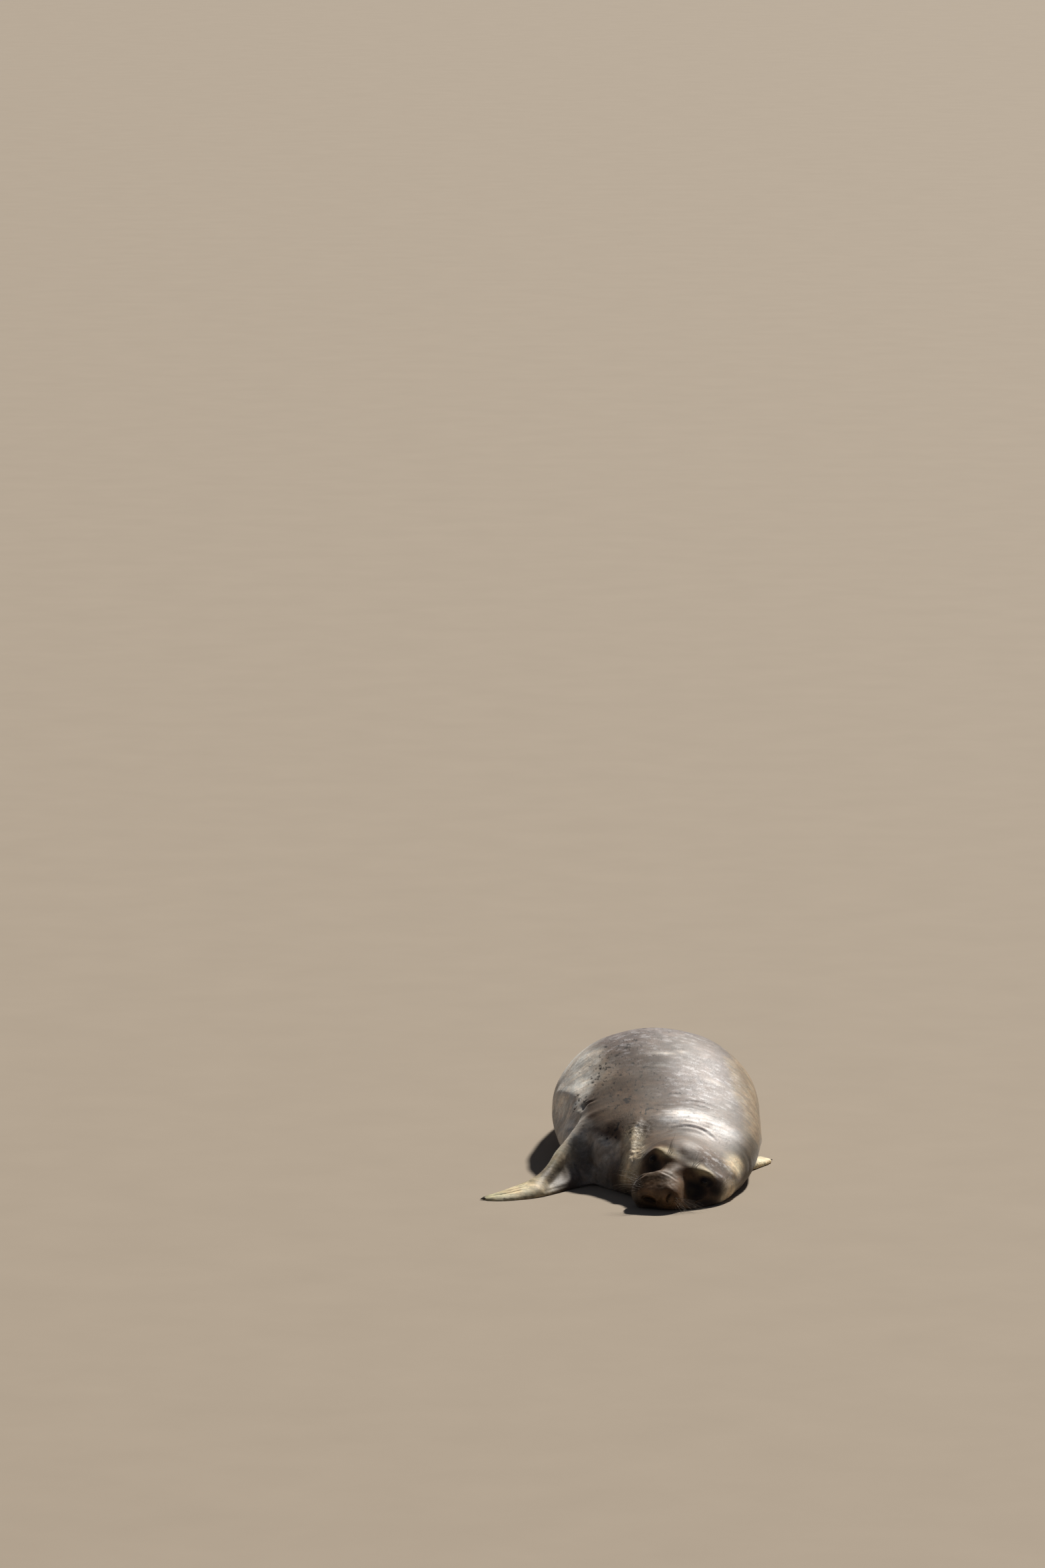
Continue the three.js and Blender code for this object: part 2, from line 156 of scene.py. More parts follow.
@dataclass(frozen=True)
class HeadAxes:
    """The head's own axes: ahead to the nose, left, and up through the crown."""

    place: Triple = (0.1682, -1.2327, 0.076)
    turn: float = math.radians(17.0)
    roll: float = math.radians(22.0)

    def basis(self) -> Array:
        """Works out the three axes.

        Returns:
            The axes as rows, in the frame's axes.
        """
        ahead = np.array([-math.sin(self.turn), -math.cos(self.turn), 0.0])
        side = np.array([math.cos(self.turn), -math.sin(self.turn), 0.0])
        rise = np.array([0.0, 0.0, 1.0])
        left = math.cos(self.roll) * side - math.sin(self.roll) * rise
        up = math.cos(self.roll) * rise + math.sin(self.roll) * side
        return np.stack([ahead, left, up])

    def into(self, points: Array) -> Array:
        """Points of the frame in the head's axes."""
        return (np.asarray(points) - np.array(self.place)) @ self.basis().T

    def out(self, points: Array) -> Array:
        """Points in the head's axes as points of the frame."""
        return np.asarray(points) @ self.basis() + np.array(self.place)


HEAD = HeadAxes()
PICTURE = Picture()

SIDES = ("right", "left")
FLESH = (
    *("snout", "head", "lower_jaw", "neck", "chest", "belly", "hips", "tail"),
    *(f"{limb}_{side}" for limb in ("hind_flipper", "upper_arm", "fore_flipper") for side in SIDES),
)


@dataclass
class Surface:
    """A mesh as arrays, with the few operations that modelling the skin needs."""

    mesh: Mesh
    places: Array = field(init=False)
    edges: Array = field(init=False)

    def __post_init__(self) -> None:
        """Reads the mesh."""
        self.read()

    def read(self) -> None:
        """Takes the places and edges from the mesh."""
        self.places = read_all(self.mesh.vertices, "co", 3).astype(float)
        self.edges = read_all(self.mesh.edges, "vertices", 2, np.int32)

    def write(self) -> None:
        """Puts the places back in the mesh."""
        self.mesh.vertices.foreach_set("co", self.places.astype(np.float32).ravel())
        self.mesh.update()

    def normals(self) -> Array:
        """Unit directions out of the surface, one for each vertex."""
        self.write()
        return read_all(self.mesh.vertex_normals, "vector", 3).astype(float)

    def neighbour_mean(self, values: Array) -> Array:
        """The mean of each vertex's neighbours.

        Args:
            values: One row for each vertex.

        Returns:
            The means, in the same shape.
        """
        first, second = self.edges[:, 0], self.edges[:, 1]
        count = np.maximum(np.bincount(self.edges.ravel(), minlength=len(values)), 1)
        columns = []
        for column in values.reshape(len(values), -1).T:
            total = np.bincount(first, column[second], len(values))
            total += np.bincount(second, column[first], len(values))
            columns.append(total / count)
        return np.stack(columns, axis=1).reshape(values.shape)

    def relax(self, rounds: int, weight: Array, keep_size: bool = False) -> None:
        """Smooths the surface.

        Args:
            rounds: How many times each vertex moves towards its neighbours.
            weight: How much each vertex takes part, from 0 to 1.
            keep_size: Whether each step in is followed by a step out.
        """
        steps = (PULL_IN, PUSH_OUT) if keep_size else (PULL_IN,)
        for _ in range(rounds):
            for step in steps:
                pull = self.neighbour_mean(self.places) - self.places
                self.places += pull * (step * weight)[:, None]

    def push(self, amount: Array) -> None:
        """Moves each vertex out along its normal by its amount."""
        self.places += self.normals() * amount[:, None]

    def press(self, amount: Array) -> None:
        """Moves each vertex out by its amount, but for those on the ground."""
        self.push(amount * smooth_step(self.places[:, 2], *PRESS_RISE))

    def refine(self, chosen: Array) -> None:
        """Splits the faces whose corners are all chosen in four.

        Args:
            chosen: True for each vertex in the part to refine.
        """
        self.write()
        work = bmesh.new()
        work.from_mesh(self.mesh)
        work.edges.ensure_lookup_table()
        both = chosen[self.edges].all(axis=1)
        edges = [work.edges[i] for i in np.nonzero(both)[0]]
        bmesh.ops.subdivide_edges(work, edges=edges, cuts=1, use_grid_fill=True)
        work.to_mesh(self.mesh)
        work.free()
        self.read()


def voxel_shell(names: tuple[str, ...], nodes: dict, voxel: float) -> Mesh:
    """One closed shell round several solids of the frame.

    Args:
        names: The solids' names.
        nodes: The frame's nodes.
        voxel: The size of the shell's faces.

    Returns:
        The shell's mesh.
    """
    corners, faces, start = [], [], 0
    for name in names:
        mesh = nodes[name].data
        mesh.calc_loop_triangles()
        corners.append(read_all(mesh.vertices, "co", 3))
        faces.append(read_all(mesh.loop_triangles, "vertices", 3, np.int32) + start)
        start += len(mesh.vertices)
    joined = bpy.data.meshes.new("flesh")
    joined.from_pydata(np.concatenate(corners), [], np.concatenate(faces))
    source = add_object("flesh", joined)
    remesh = source.modifiers.new("shell", "REMESH")
    remesh.mode = "VOXEL"
    remesh.voxel_size = voxel
    seen = source.evaluated_get(bpy.context.evaluated_depsgraph_get())
    shell = bpy.data.meshes.new_from_object(seen)
    bpy.data.objects.remove(source)
    bpy.data.meshes.remove(joined)
    return shell


def along_curve(points: Array, step: float) -> Array:
    """Places at even steps along a smooth curve through a few points.

    Args:
        points: The points, one in each row.
        step: About how far apart the places are.

    Returns:
        The places, one in each row.
    """
    ends = np.concatenate([2 * points[:1] - points[1:2], points, 2 * points[-1:] - points[-2:-1]])
    places = []
    for a, b, c, d in zip(ends, ends[1:], ends[2:], ends[3:]):
        count = max(2, int(np.linalg.norm(c - b) / step))
        t = np.linspace(0.0, 1.0, count, endpoint=False)[:, None]
        places.append(
            b
            + 0.5 * t * (c - a)
            + t**2 * (a - 2.5 * b + 2 * c - 0.5 * d)
            + 0.5 * t**3 * (3 * b - a - 3 * c + d)
        )
    return np.concatenate([*places, points[-1:]])


def distance_to_line(places: Array, line: Array) -> tuple[Array, Array]:
    """How far places are from a line of short straight lengths.

    Args:
        places: The places, one in each row.
        line: The line's points, one in each row.

    Returns:
        Each place's distance, and where along the line its nearest point is, from 0 to 1.
    """
    gap = np.full(len(places), np.inf)
    share = np.zeros(len(places))
    for i, (start, end) in enumerate(zip(line, line[1:])):
        step = end - start
        along = np.clip(((places - start) @ step) / max(step @ step, 1e-18), 0.0, 1.0)
        distance = np.linalg.norm(places - start - along[:, None] * step, axis=1)
        closer = distance < gap
        gap[closer] = distance[closer]
        share[closer] = (i + along[closer]) / (len(line) - 1)
    return gap, share


class Axes(Enum):
    """Which axes a feature's points are given in."""

    ROW = "the frame's own"
    HEAD = "the head's"


@dataclass(frozen=True)
class Crease:
    """A fold of the skin along a curve: a groove with a soft swelling on both sides.

    Its points are in millimetres, near the skin, and are brought onto it. How far it reaches and
    where it swells are told in its own width.
    """

    name: str
    points: tuple[Triple, ...]
    depth: float
    width: float
    swell: float = 0.0
    axes: Axes = Axes.ROW
    fade: float = 0.4
    reach: float = 4.0
    swell_place: float = 1.9
    swell_width: float = 1.1

    def curve(self, tree: BVHTree) -> Array:
        """The crease's line on the skin.

        Args:
            tree: The skin, for finding its nearest places.

        Returns:
            Places along the line.
        """
        points = np.array(self.points) * MM
        if self.axes is Axes.HEAD:
            points = HEAD.out(points)
        line = along_curve(points, self.width * MM * 0.5)
        return np.array([tree.find_nearest(Vector(place))[0] for place in line])

    def press(self, surface: Surface, tree: BVHTree) -> None:
        """Presses the crease in the skin.

        Args:
            surface: The skin, which is changed.
            tree: The skin before any crease.
        """
        line = self.curve(tree)
        width = self.width * MM
        reach = self.reach * width
        low, high = line.min(axis=0) - reach, line.max(axis=0) + reach
        near = np.nonzero(((surface.places > low) & (surface.places < high)).all(axis=1))[0]
        if not len(near):
            return
        gap, share = distance_to_line(surface.places[near], line)
        fade = smooth_step(share, 0.0, self.fade) * smooth_step(1.0 - share, 0.0, self.fade)
        groove = np.exp(-((gap / width) ** 2)) * self.depth
        beside = (gap - self.swell_place * width) / (self.swell_width * width)
        swelling = np.exp(-(beside**2)) * self.swell
        amount = np.zeros(len(surface.places))
        amount[near] = (swelling - groove) * fade * MM
        surface.press(amount)


@dataclass(frozen=True)
class Dent:
    """A round hollow, or with a negative depth a swelling, pressed in the skin.

    Its middle, size and depth are in millimetres, and the size is along the axes it names.
    """

    name: str
    middle: Triple
    size: Triple
    depth: float
    axes: Axes = Axes.HEAD

    def press(self, surface: Surface) -> None:
        """Presses the dent in the skin, which is changed."""
        places = HEAD.into(surface.places) if self.axes is Axes.HEAD else surface.places
        scaled = (places / MM - np.array(self.middle)) / np.array(self.size)
        surface.press(-self.depth * MM * np.exp(-(scaled**2).sum(axis=1)))


@dataclass(frozen=True)
class Bevel:
    """A rounded edge of the head pressed nearly flat: what stands out of a plane goes back to it.

    Its middle and size are in millimetres in the head's axes, and the plane faces outward.
    """

    name: str
    middle: Triple
    outward: Triple
    size: Triple
    keep: float = 0.25
    softness: float = 4.0

    def press(self, surface: Surface) -> None:
        """Presses the edge flat.

        Args:
            surface: The skin, which is changed.
        """
        head = HEAD.into(surface.places) / MM
        outward = unit(np.array(self.outward))
        offset = head - np.array(self.middle)
        height = offset @ outward / self.softness
        excess = self.softness * np.logaddexp(0.0, height)
        share = np.exp(-(((offset / np.array(self.size)) ** 2).sum(axis=1) ** 2))
        head -= outward * (excess * share * (1.0 - self.keep))[:, None]
        surface.places = HEAD.out(head * MM)


@dataclass(frozen=True)
class Limb:
    """A flipper or arm as the line from its root to its tip, in millimetres, with its reach.

    The hair lies along it, and the skin keeps its size there when it is smoothed.
    """

    name: str
    root: Triple
    tip: Triple
    reach: float
    start: float = 0.3

    def closeness(self, places: Array) -> Array:
        """How much each place belongs to the limb, from 0 to 1."""
        root, tip = np.array(self.root) * MM, np.array(self.tip) * MM
        share = np.clip(((places - root) @ (tip - root)) / ((tip - root) @ (tip - root)), 0.0, 1.0)
        gap = np.linalg.norm(places - root - share[:, None] * (tip - root), axis=1)
        reach = self.reach * MM
        return smooth_step(share, 0.0, self.start) * (1.0 - smooth_step(gap, reach, 1.5 * reach))

    def direction(self) -> Array:
        """The unit direction from root to tip."""
        return unit(np.array(self.tip, float) - np.array(self.root, float))


LIMBS = (
    Limb("upper_arm_right", (-110, -740, 230), (-395, -1090, 40), 135.0),
    Limb("fore_flipper_right", (-370, -1060, 30), (-555, -1215, 10), 130.0),
    Limb("fore_flipper_left", (400, -690, 20), (535, -450, 10), 130.0),
    Limb("hind_flipper_right", (30, 1090, 50), (-50, 1440, 30), 150.0),
    Limb("hind_flipper_left", (160, 1090, 50), (230, 1440, 30), 150.0),
)


def on_limbs(places: Array) -> Array:
    """1 on the flippers and the right arm, 0 on the rest."""
    return np.max([limb.closeness(places) for limb in LIMBS], axis=0)


@dataclass(frozen=True)
class Lids:
    """The closed lids over one eye: a dome with a narrow almond slit, folds above and wrinkles below.

    Lengths are in millimetres, and angles from the dome's middle in radians. The slit and folds
    are measured on the dome, along from the nose side to the back and up towards the crown. A fold
    is told by its height, depth and width.
    """

    name: str
    middle: Triple
    dome: float = 20.6
    dome_edge: Pair = (0.8, 1.35)
    edge_drop: float = 0.8
    slant: Pair = (0.85, 0.45)
    slit_half_length: float = 15.5
    slit_half_height: float = 0.7
    slit_least: float = 0.01
    slit_floor: float = 16.2
    slit_softness: float = 0.9
    droop: float = -4.0
    rim: float = 0.5
    rim_gap: float = 1.4
    rim_width: float = 1.3
    rim_ends: Pair = (10.0, 20.0)
    reach: float = 46.0
    behind: float = -6.0
    blending: int = 14
    blend_angle: Pair = (0.85, 1.15)
    blend_reach: Pair = (40.0, 55.0)
    folds: tuple[Triple, ...] = (
        (8.0, 0.6, 2.4),
        (15.0, 0.4, 3.0),
        (-8.5, 0.35, 2.2),
        (-13.5, 0.5, 2.6),
    )
    fold_bend: float = 0.55
    fold_ends: Pair = (14.0, 30.0)

    def frame_of(self, surface: Surface) -> tuple[Array, Array, Array, Array]:
        """The eye's middle and its axes: out, towards the back, and up.

        Args:
            surface: The skin round the eye.

        Returns:
            The middle and the three unit directions, in the frame's axes.
        """
        middle = HEAD.out(np.array(self.middle) * MM)
        near = np.linalg.norm(surface.places - middle, axis=1) < self.reach * MM
        out = unit(surface.normals()[near].mean(axis=0))
        ahead, left, rise = HEAD.basis()
        back = math.copysign(self.slant[0], self.middle[1]) * left - self.slant[1] * ahead
        back = unit(back - out * (back @ out))
        up = np.cross(out, back)
        return middle, out, back, up if up @ rise > 0 else -up

    def press(self, surface: Surface) -> None:
        """Forms the lids, from the dome to the rims of the slit.

        Args:
            surface: The skin, which is changed.
        """
        middle, out, back, up = self.frame_of(surface)
        offset = (surface.places - middle) / MM
        radius = np.linalg.norm(offset, axis=1)
        near = np.nonzero((radius < 1.6 * self.reach) & (offset @ out > self.behind))[0]
        offset, radius = offset[near], radius[near]
        along, rise = offset @ back, offset @ up
        angle = np.arccos(np.clip((offset @ out) / radius, -1.0, 1.0))
        on_dome = 1.0 - smooth_step(angle, *self.dome_edge)
        level = radius + (self.dome - radius) * on_dome
        level = np.maximum(level, self.dome - self.edge_drop * (1.0 - on_dome))
        share = np.clip(along / self.slit_half_length, -1.0, 1.0)
        centre = self.droop * (1.0 - share**2)
        half = self.slit_half_height * (1.0 - share**2) + self.slit_least
        from_slit = np.abs(rise - centre) - half
        open_part = 1.0 - smooth_step(from_slit, -self.slit_softness, self.slit_softness)
        open_part *= (np.abs(along) < self.slit_half_length) * on_dome
        fade = 1.0 - smooth_step(np.abs(along), *self.fold_ends)
        for height, depth, width in self.folds:
            bend = height * (1.0 - self.fold_bend * np.clip(along / self.fold_ends[1], -1.3, 1.3) ** 2)
            level -= depth * fade * np.exp(-(((rise - bend) / width) ** 2))
        rim = np.exp(-(((from_slit - self.rim_gap) / self.rim_width) ** 2))
        level += self.rim * rim * on_dome * (1.0 - smooth_step(np.abs(along), *self.rim_ends))
        level = level + (np.minimum(level, self.slit_floor) - level) * open_part
        surface.places[near] = middle + unit(offset) * level[:, None] * MM
        ring = np.zeros(len(surface.places))
        close = 1.0 - smooth_step(radius, *self.blend_reach)
        ring[near] = smooth_step(angle, *self.blend_angle) * close
        surface.relax(self.blending, ring)


@dataclass(frozen=True)
class Nostril:
    """A nostril: a curved opening pressed back in the muzzle, with a raised rim above.

    Its line is (left, up) in millimetres in the head's axes, seen from ahead. The rim's place and
    width, the narrow ends and the edge are shares of its own width.
    """

    name: str
    line: tuple[Pair, ...]
    depth: float
    width: float
    rim: float = 2.2
    rim_place: float = 1.45
    rim_width: float = 0.6
    ends: Pair = (-0.02, 0.25)
    narrow: float = 0.45
    edge: float = 0.35
    bare: float = 0.8
    front: float = 120.0
    least_facing: float = -0.2
    line_step: float = 2.0

    def curve(self) -> Array:
        """The nostril's line at even steps."""
        return along_curve(np.array(self.line), self.line_step)

    def holds(self, head: Array) -> Array:
        """Whether each place in the head's axes, in millimetres, lies in the opening."""
        gap, _ = distance_to_line(head[:, 1:], self.curve())
        return (gap < self.bare * self.width) & (head[:, 0] > self.front)

    def press(self, surface: Surface) -> None:
        """Presses the nostril back in the muzzle, and raises its rim.

        Args:
            surface: The skin, which is changed.
        """
        head = HEAD.into(surface.places) / MM
        facing = surface.normals() @ HEAD.basis()[0]
        near = np.nonzero((head[:, 0] > self.front) & (facing > self.least_facing))[0]
        flat = head[near][:, 1:]
        gap, share = distance_to_line(flat, self.curve())
        above = flat[:, 1] - np.array(self.line)[:, 1].mean()
        fade = smooth_step(share, *self.ends) * smooth_step(1.0 - share, *self.ends)
        width = self.width * (self.narrow + (1.0 - self.narrow) * fade)
        hole = 1.0 - smooth_step(gap, self.edge * width, width)
        beside = (gap - self.rim_place * width) / (self.rim_width * width)
        rim = np.exp(-(beside**2)) * (above > -0.3 * width)
        head[near, 0] += self.rim * rim * fade - self.depth * hole * fade
        surface.places[near] = HEAD.out(head[near] * MM)


@dataclass
class Skin:
    """The one skin over all the flesh: smoothed, drawn in by the coat's depth, and sculpted.

    Its sizes and heights are in metres, and borders run along the row's or the head's first axis.
    """

    nodes: dict
    voxel: float = 0.008
    coat_depth: float = 0.004
    face_depth: float = 0.002
    flipper_depth: float = 0.0015
    bottom: float = 0.0006
    facet_rounds: int = 10
    trunk_rounds: int = 150
    head_rounds: int = 9
    fine_rounds: tuple[int, int] = (5, 3)
    underside_rounds: int = 12
    head_edge: Pair = (-0.28, -0.12)
    face_back: float = -0.06
    muzzle_back: float = 0.125
    front_back: float = -0.52
    eye_reach: float = 0.042
    limb_share: float = 0.3
    fine_height: float = 0.003
    underside: Pair = (0.03, 0.05)
    surface: Surface = field(init=False)

    def build(self) -> Object:
        """Makes the skin.

        Returns:
            The skin's object, without a material yet.
        """
        mesh = voxel_shell(FLESH + ("eye_right", "eye_left"), self.nodes, self.voxel)
        mesh.name = "skin"
        self.surface = Surface(mesh)
        self.smooth()
        self.draw_in()
        self.refine()
        self.sculpt()
        self.surface.write()
        mesh.polygons.foreach_set("use_smooth", np.ones(len(mesh.polygons), bool))
        return add_object("skin", mesh)

    def lifted(self, low: float = 0.001, high: float = 0.006) -> Array:
        """0 where the skin lies on the ground, rising to 1 between two heights above it."""
        return smooth_step(self.surface.places[:, 2], low, high)

    def free(self) -> Array:
        """Where the first rough skin is free to be smoothed, from 0 on the ground to 1."""
        return self.lifted(0.002, 0.012)

    def ahead(self) -> Array:
        """How far ahead in the head's axes each place is."""
        return HEAD.into(self.surface.places)[:, 0]

    def headness(self) -> Array:
        """1 on the head, falling to 0 at the neck."""
        return smooth_step(self.ahead(), *self.head_edge)

    def smooth(self) -> None:
        """Takes the steps and facets out, most on the trunk."""
        surface = self.surface
        surface.relax(self.facet_rounds, self.free(), keep_size=True)
        trunk = (1.0 - self.headness()) * (1.0 - on_limbs(surface.places))
        before = surface.places.copy()
        surface.relax(self.trunk_rounds, trunk * self.free())
        lost = before - surface.places
        for _ in range(self.trunk_rounds):
            lost += PULL_IN * (surface.neighbour_mean(lost) - lost)
        surface.places += lost * (trunk * self.free())[:, None]
        surface.relax(self.head_rounds, self.headness() * self.free())

    def draw_in(self) -> None:
        """Draws the skin in by the coat's depth, and sets its bottom just off the ground."""
        depth = self.coat_depth + (self.face_depth - self.coat_depth) * self.headness()
        depth += (self.flipper_depth - depth) * on_limbs(self.surface.places)
        self.surface.push(-depth * self.lifted(0.004, 0.02))
        self.settle()

    def settle(self) -> None:
        """Brings what lies below the skin's bottom up to it."""
        self.surface.places[:, 2] = np.maximum(self.surface.places[:, 2], self.bottom)

    def refine(self) -> None:
        """Makes the faces small where the skin has fine shapes."""
        surface = self.surface
        front = (surface.places[:, 1] < self.front_back) & (surface.places[:, 2] > 0.004)
        surface.refine(front | (on_limbs(surface.places) > self.limb_share))
        surface.refine((self.ahead() > self.face_back) & (surface.places[:, 2] > self.fine_height))
        surface.relax(self.fine_rounds[0], self.lifted(), keep_size=True)
        chosen = (self.ahead() > self.muzzle_back) & (surface.places[:, 2] > self.fine_height)
        head = HEAD.into(surface.places)
        for lids in LIDS:
            chosen |= np.linalg.norm(head - np.array(lids.middle) * MM, axis=1) < self.eye_reach
        surface.refine(chosen)
        surface.relax(self.fine_rounds[1], self.lifted(), keep_size=True)

    def sculpt(self) -> None:
        """Forms the folds, lids, nostrils and pads, from the large shapes to the small ones."""
        for shape in (*DENTS, *BEVELS, *RIPPLES):
            shape.press(self.surface)
        low = 1.0 - self.lifted(*self.underside)
        self.surface.relax(self.underside_rounds, self.headness() * low * self.lifted())
        for shape in (*LIDS, *NOSTRILS):
            shape.press(self.surface)
        self.surface.write()
        tree = mesh_tree(self.surface.mesh)
        for crease in [*CREASES, *(crease for fan in FANS for crease in fan.creases())]:
            crease.press(self.surface, tree)
        self.settle()


def mesh_tree(mesh: Mesh) -> BVHTree:
    """A tree of a mesh's faces, for finding the nearest place on it."""
    work = bmesh.new()
    work.from_mesh(mesh)
    tree = BVHTree.FromBMesh(work)
    work.free()
    return tree


LIDS = (
    Lids("right", (14.2, -90.0, 49.4)),
    Lids("left", (21.5, 118.3, 56.5)),
)

NOSTRILS = (
    Nostril("right", (
        (-44, -58), (-36, -42), (-16, -33), (6, -38), (16, -50),
    ), 17.0, 8.0),
    Nostril("left", ((50, 14), (46, 2), (47, -12), (54, -24)), 13.0, 5.0),
)

DENTS = (
    Dent("cheek below the crest, left", (72, 150, 6), (46, 50, 42), 20.0),
    Dent("hollow beside the muzzle, left", (94, 118, 20), (32, 26, 50), 24.0),
    Dent("hollow under the brow, left", (62, 98, 52), (26, 34, 18), 10.0),
    Dent("crest of the cheek, left", (-28, 160, 84), (40, 46, 26), -5.0),
    Dent("hollow before the right eye", (80, -84, 36), (30, 34, 24), 22.0),
    Dent("hollow over the muzzle, right", (92, -66, 52), (26, 24, 18), 9.0),
    Dent("forehead", (22, 14, 118), (44, 56, 40), 7.0),
    Dent("bridge of the nose", (86, 10, 74), (32, 30, 30), -8.0),
    Dent("top of the muzzle", (156, 8, 46), (32, 70, 22), 7.0),
    Dent("brow, right", (30, -74, 92), (26, 44, 16), -7.0),
    Dent("brow, left", (34, 100, 96), (26, 48, 18), -8.0),
    Dent("brow behind the eye, right", (8, -104, 86), (22, 36, 15), -7.0),
    Dent("brow behind the eye, left", (6, 121, 90), (22, 38, 15), -7.0),
    Dent("cheek band, right", (-30, -172, -20), (60, 26, 70), -7.0),
    Dent("pad, right", (176, -58, -20), (30, 26, 30), -6.0),
    Dent("pad, left", (176, 70, -12), (30, 24, 28), -6.0),
    Dent("between the nostrils", (200, 32, -8), (20, 7, 16), -4.0),
    Dent("below the nose", (200, 26, -40), (24, 7, 22), 6.0),
    Dent("ear, right", (-70, -130, 40), (5, 8, 5), 5.0),
    Dent("ear, left", (-70, 140, 60), (5, 8, 5), 5.0),
    Dent("shoulder blade, right", (-150, -760, 275), (90, 90, 80), -7.0, Axes.ROW),
    Dent("flank behind the right arm", (-258, -585, 196), (80, 150, 64), 24.0, Axes.ROW),
    Dent("above the roll of the flank, right", (-165, -500, 330), (50, 170, 40), 7.0, Axes.ROW),
    Dent("pit behind the right arm", (-176, -706, 258), (20, 26, 16), 8.0, Axes.ROW),
    Dent("armpit, right", (-175, -968, 70), (50, 45, 70), 14.0, Axes.ROW),
    Dent("front of the wrist, right", (-243, -1012, 62), (42, 60, 42), 13.0, Axes.ROW),
    Dent("nape", (235, -925, 264), (150, 54, 60), -9.0, Axes.ROW),
    Dent("before the hips, right", (-180, 430, 260), (120, 90, 120), 6.0, Axes.ROW),
    Dent("before the hips, left", (400, 470, 240), (120, 90, 120), 6.0, Axes.ROW),
)

BEVELS = (
    Bevel("front of the nose", (197.5, -18.5, -3.0), (0.56, -0.30, 0.77), (85, 80, 70)),
)

CREASES = (
    Crease("neck fold", (
        (120, -1060, 218), (154, -1010, 231), (197, -986, 240), (248, -982, 237), (291, -994, 224),
        (330, -1030, 202), (366, -1085, 165),
    ), 2.2, 8.0, 1.2, fade=0.45),
    Crease("neck fold, second", (
        (110, -1100, 200), (160, -1050, 222), (225, -1018, 228), (290, -1030, 208), (330, -1070, 184),
    ), 0.8, 9.0, 0.5),
    Crease("groove over the nape", (
        (140, -830, 285), (177, -812, 294), (236, -790, 295), (308, -784, 284), (364, -804, 259),
    ), 1.8, 9.0, 1.0),
    Crease("second groove over the nape", (
        (130, -770, 310), (220, -742, 315), (320, -742, 295),
    ), 1.0, 12.0, 0.8),
    Crease("throat fold, right", ((-60, -1080, 60), (-40, -1060, 120), (20, -1030, 180)), 4.0, 13.0, 2.0),
    Crease("throat fold, left", ((470, -1040, 40), (450, -1010, 110), (390, -990, 180)), 1.2, 15.0, 0.6),
    Crease("armpit fold, right", ((-110, -1010, 60), (-150, -970, 90), (-165, -950, 130)), 5.0, 9.0, 2.0),
    Crease("second armpit fold, right", (
        (-150, -1010, 30), (-185, -975, 80), (-200, -930, 130),
    ), 3.0, 8.0, 1.6),
    Crease("crest of the neck, right", (
        (46, -900, 272), (28, -973, 244), (10, -1080, 190), (10, -1150, 137), (20, -1186, 80),
        (26, -1198, 50),
    ), -11.0, 19.0, fade=0.3),
    Crease("wall of the chest, right", (
        (-70, -870, 235), (-68, -950, 190), (-45, -1045, 130), (-25, -1110, 75),
    ), 17.0, 40.0, fade=0.35),
    Crease("ridge of the arm, right", (
        (-40, -785, 285), (-71, -788, 275), (-122, -795, 255), (-160, -803, 235), (-190, -842, 207),
        (-223, -885, 174), (-253, -932, 141), (-279, -995, 103), (-306, -1060, 75),
    ), -5.0, 17.0, fade=0.3),
    Crease("front of the arm, right", (
        (-110, -880, 215), (-165, -912, 165), (-212, -962, 110), (-254, -1040, 68), (-300, -1115, 36),
        (-340, -1170, 14),
    ), 25.0, 36.0, fade=0.25),
    Crease("hollow behind the arm, right", (
        (-186, -705, 248), (-218, -755, 210), (-243, -805, 176), (-270, -858, 136), (-298, -915, 96),
    ), 18.0, 32.0, fade=0.3),
    Crease("fold behind the arm, right", (
        (-105, -706, 290), (-135, -708, 280), (-170, -706, 264), (-192, -740, 238),
    ), 3.0, 8.0, 1.5, fade=0.4),
    Crease("roll of the flank, right", (
        (-285, -300, 235), (-268, -380, 248), (-243, -475, 264), (-208, -575, 278), (-184, -650, 272),
    ), -6.0, 26.0, fade=0.3),
    Crease("wrist fold, right", ((-350, -1150, 10), (-380, -1090, 45), (-400, -1030, 20)), 1.0, 9.0, 0.5),
    Crease("mouth, right", (
        (168, -38, -62), (140, -72, -60), (84, -98, -58), (20, -112, -56), (-50, -118, -54),
    ), 4.5, 4.5, 1.6, Axes.HEAD),
    Crease("upper lip, middle", (
        (200, 26, -22), (198, 25, -44), (186, 24, -64),
    ), 3.5, 4.0, 1.2, Axes.HEAD),
    Crease("fold beside the nose, right", (
        (120, -66, 44), (146, -84, 8), (140, -96, -34),
    ), 3.0, 7.0, 1.5, Axes.HEAD),
    Crease("fold across the nose", (
        (122, -60, 52), (132, 4, 72), (122, 70, 58),
    ), 0.9, 6.0, 0.4, Axes.HEAD),
)


@dataclass(frozen=True)
class Patch:
    """A soft-edged part of the body, such as a darker cheek or a worn neck, in millimetres."""

    middle: Triple
    size: Triple
    strength: float = 1.0
    axes: Axes = Axes.ROW
    power: float = 1.5

    def cover(self, places: Array, head: Array) -> Array:
        """How much of the patch lies on each place, from 0 to 1.

        Args:
            places: The places in the frame's axes.
            head: The same places in the head's axes.

        Returns:
            One share for each place.
        """
        own = head if self.axes is Axes.HEAD else places
        scaled = (own / MM - np.array(self.middle)) / np.array(self.size)
        return self.strength * np.exp(-((scaled**2).sum(axis=1) ** self.power))


def head_patch(middle: Triple, size: Triple, strength: float = 1.0, power: float = 1.5) -> Patch:
    """A patch in the head's axes."""
    return Patch(middle, size, strength, Axes.HEAD, power)


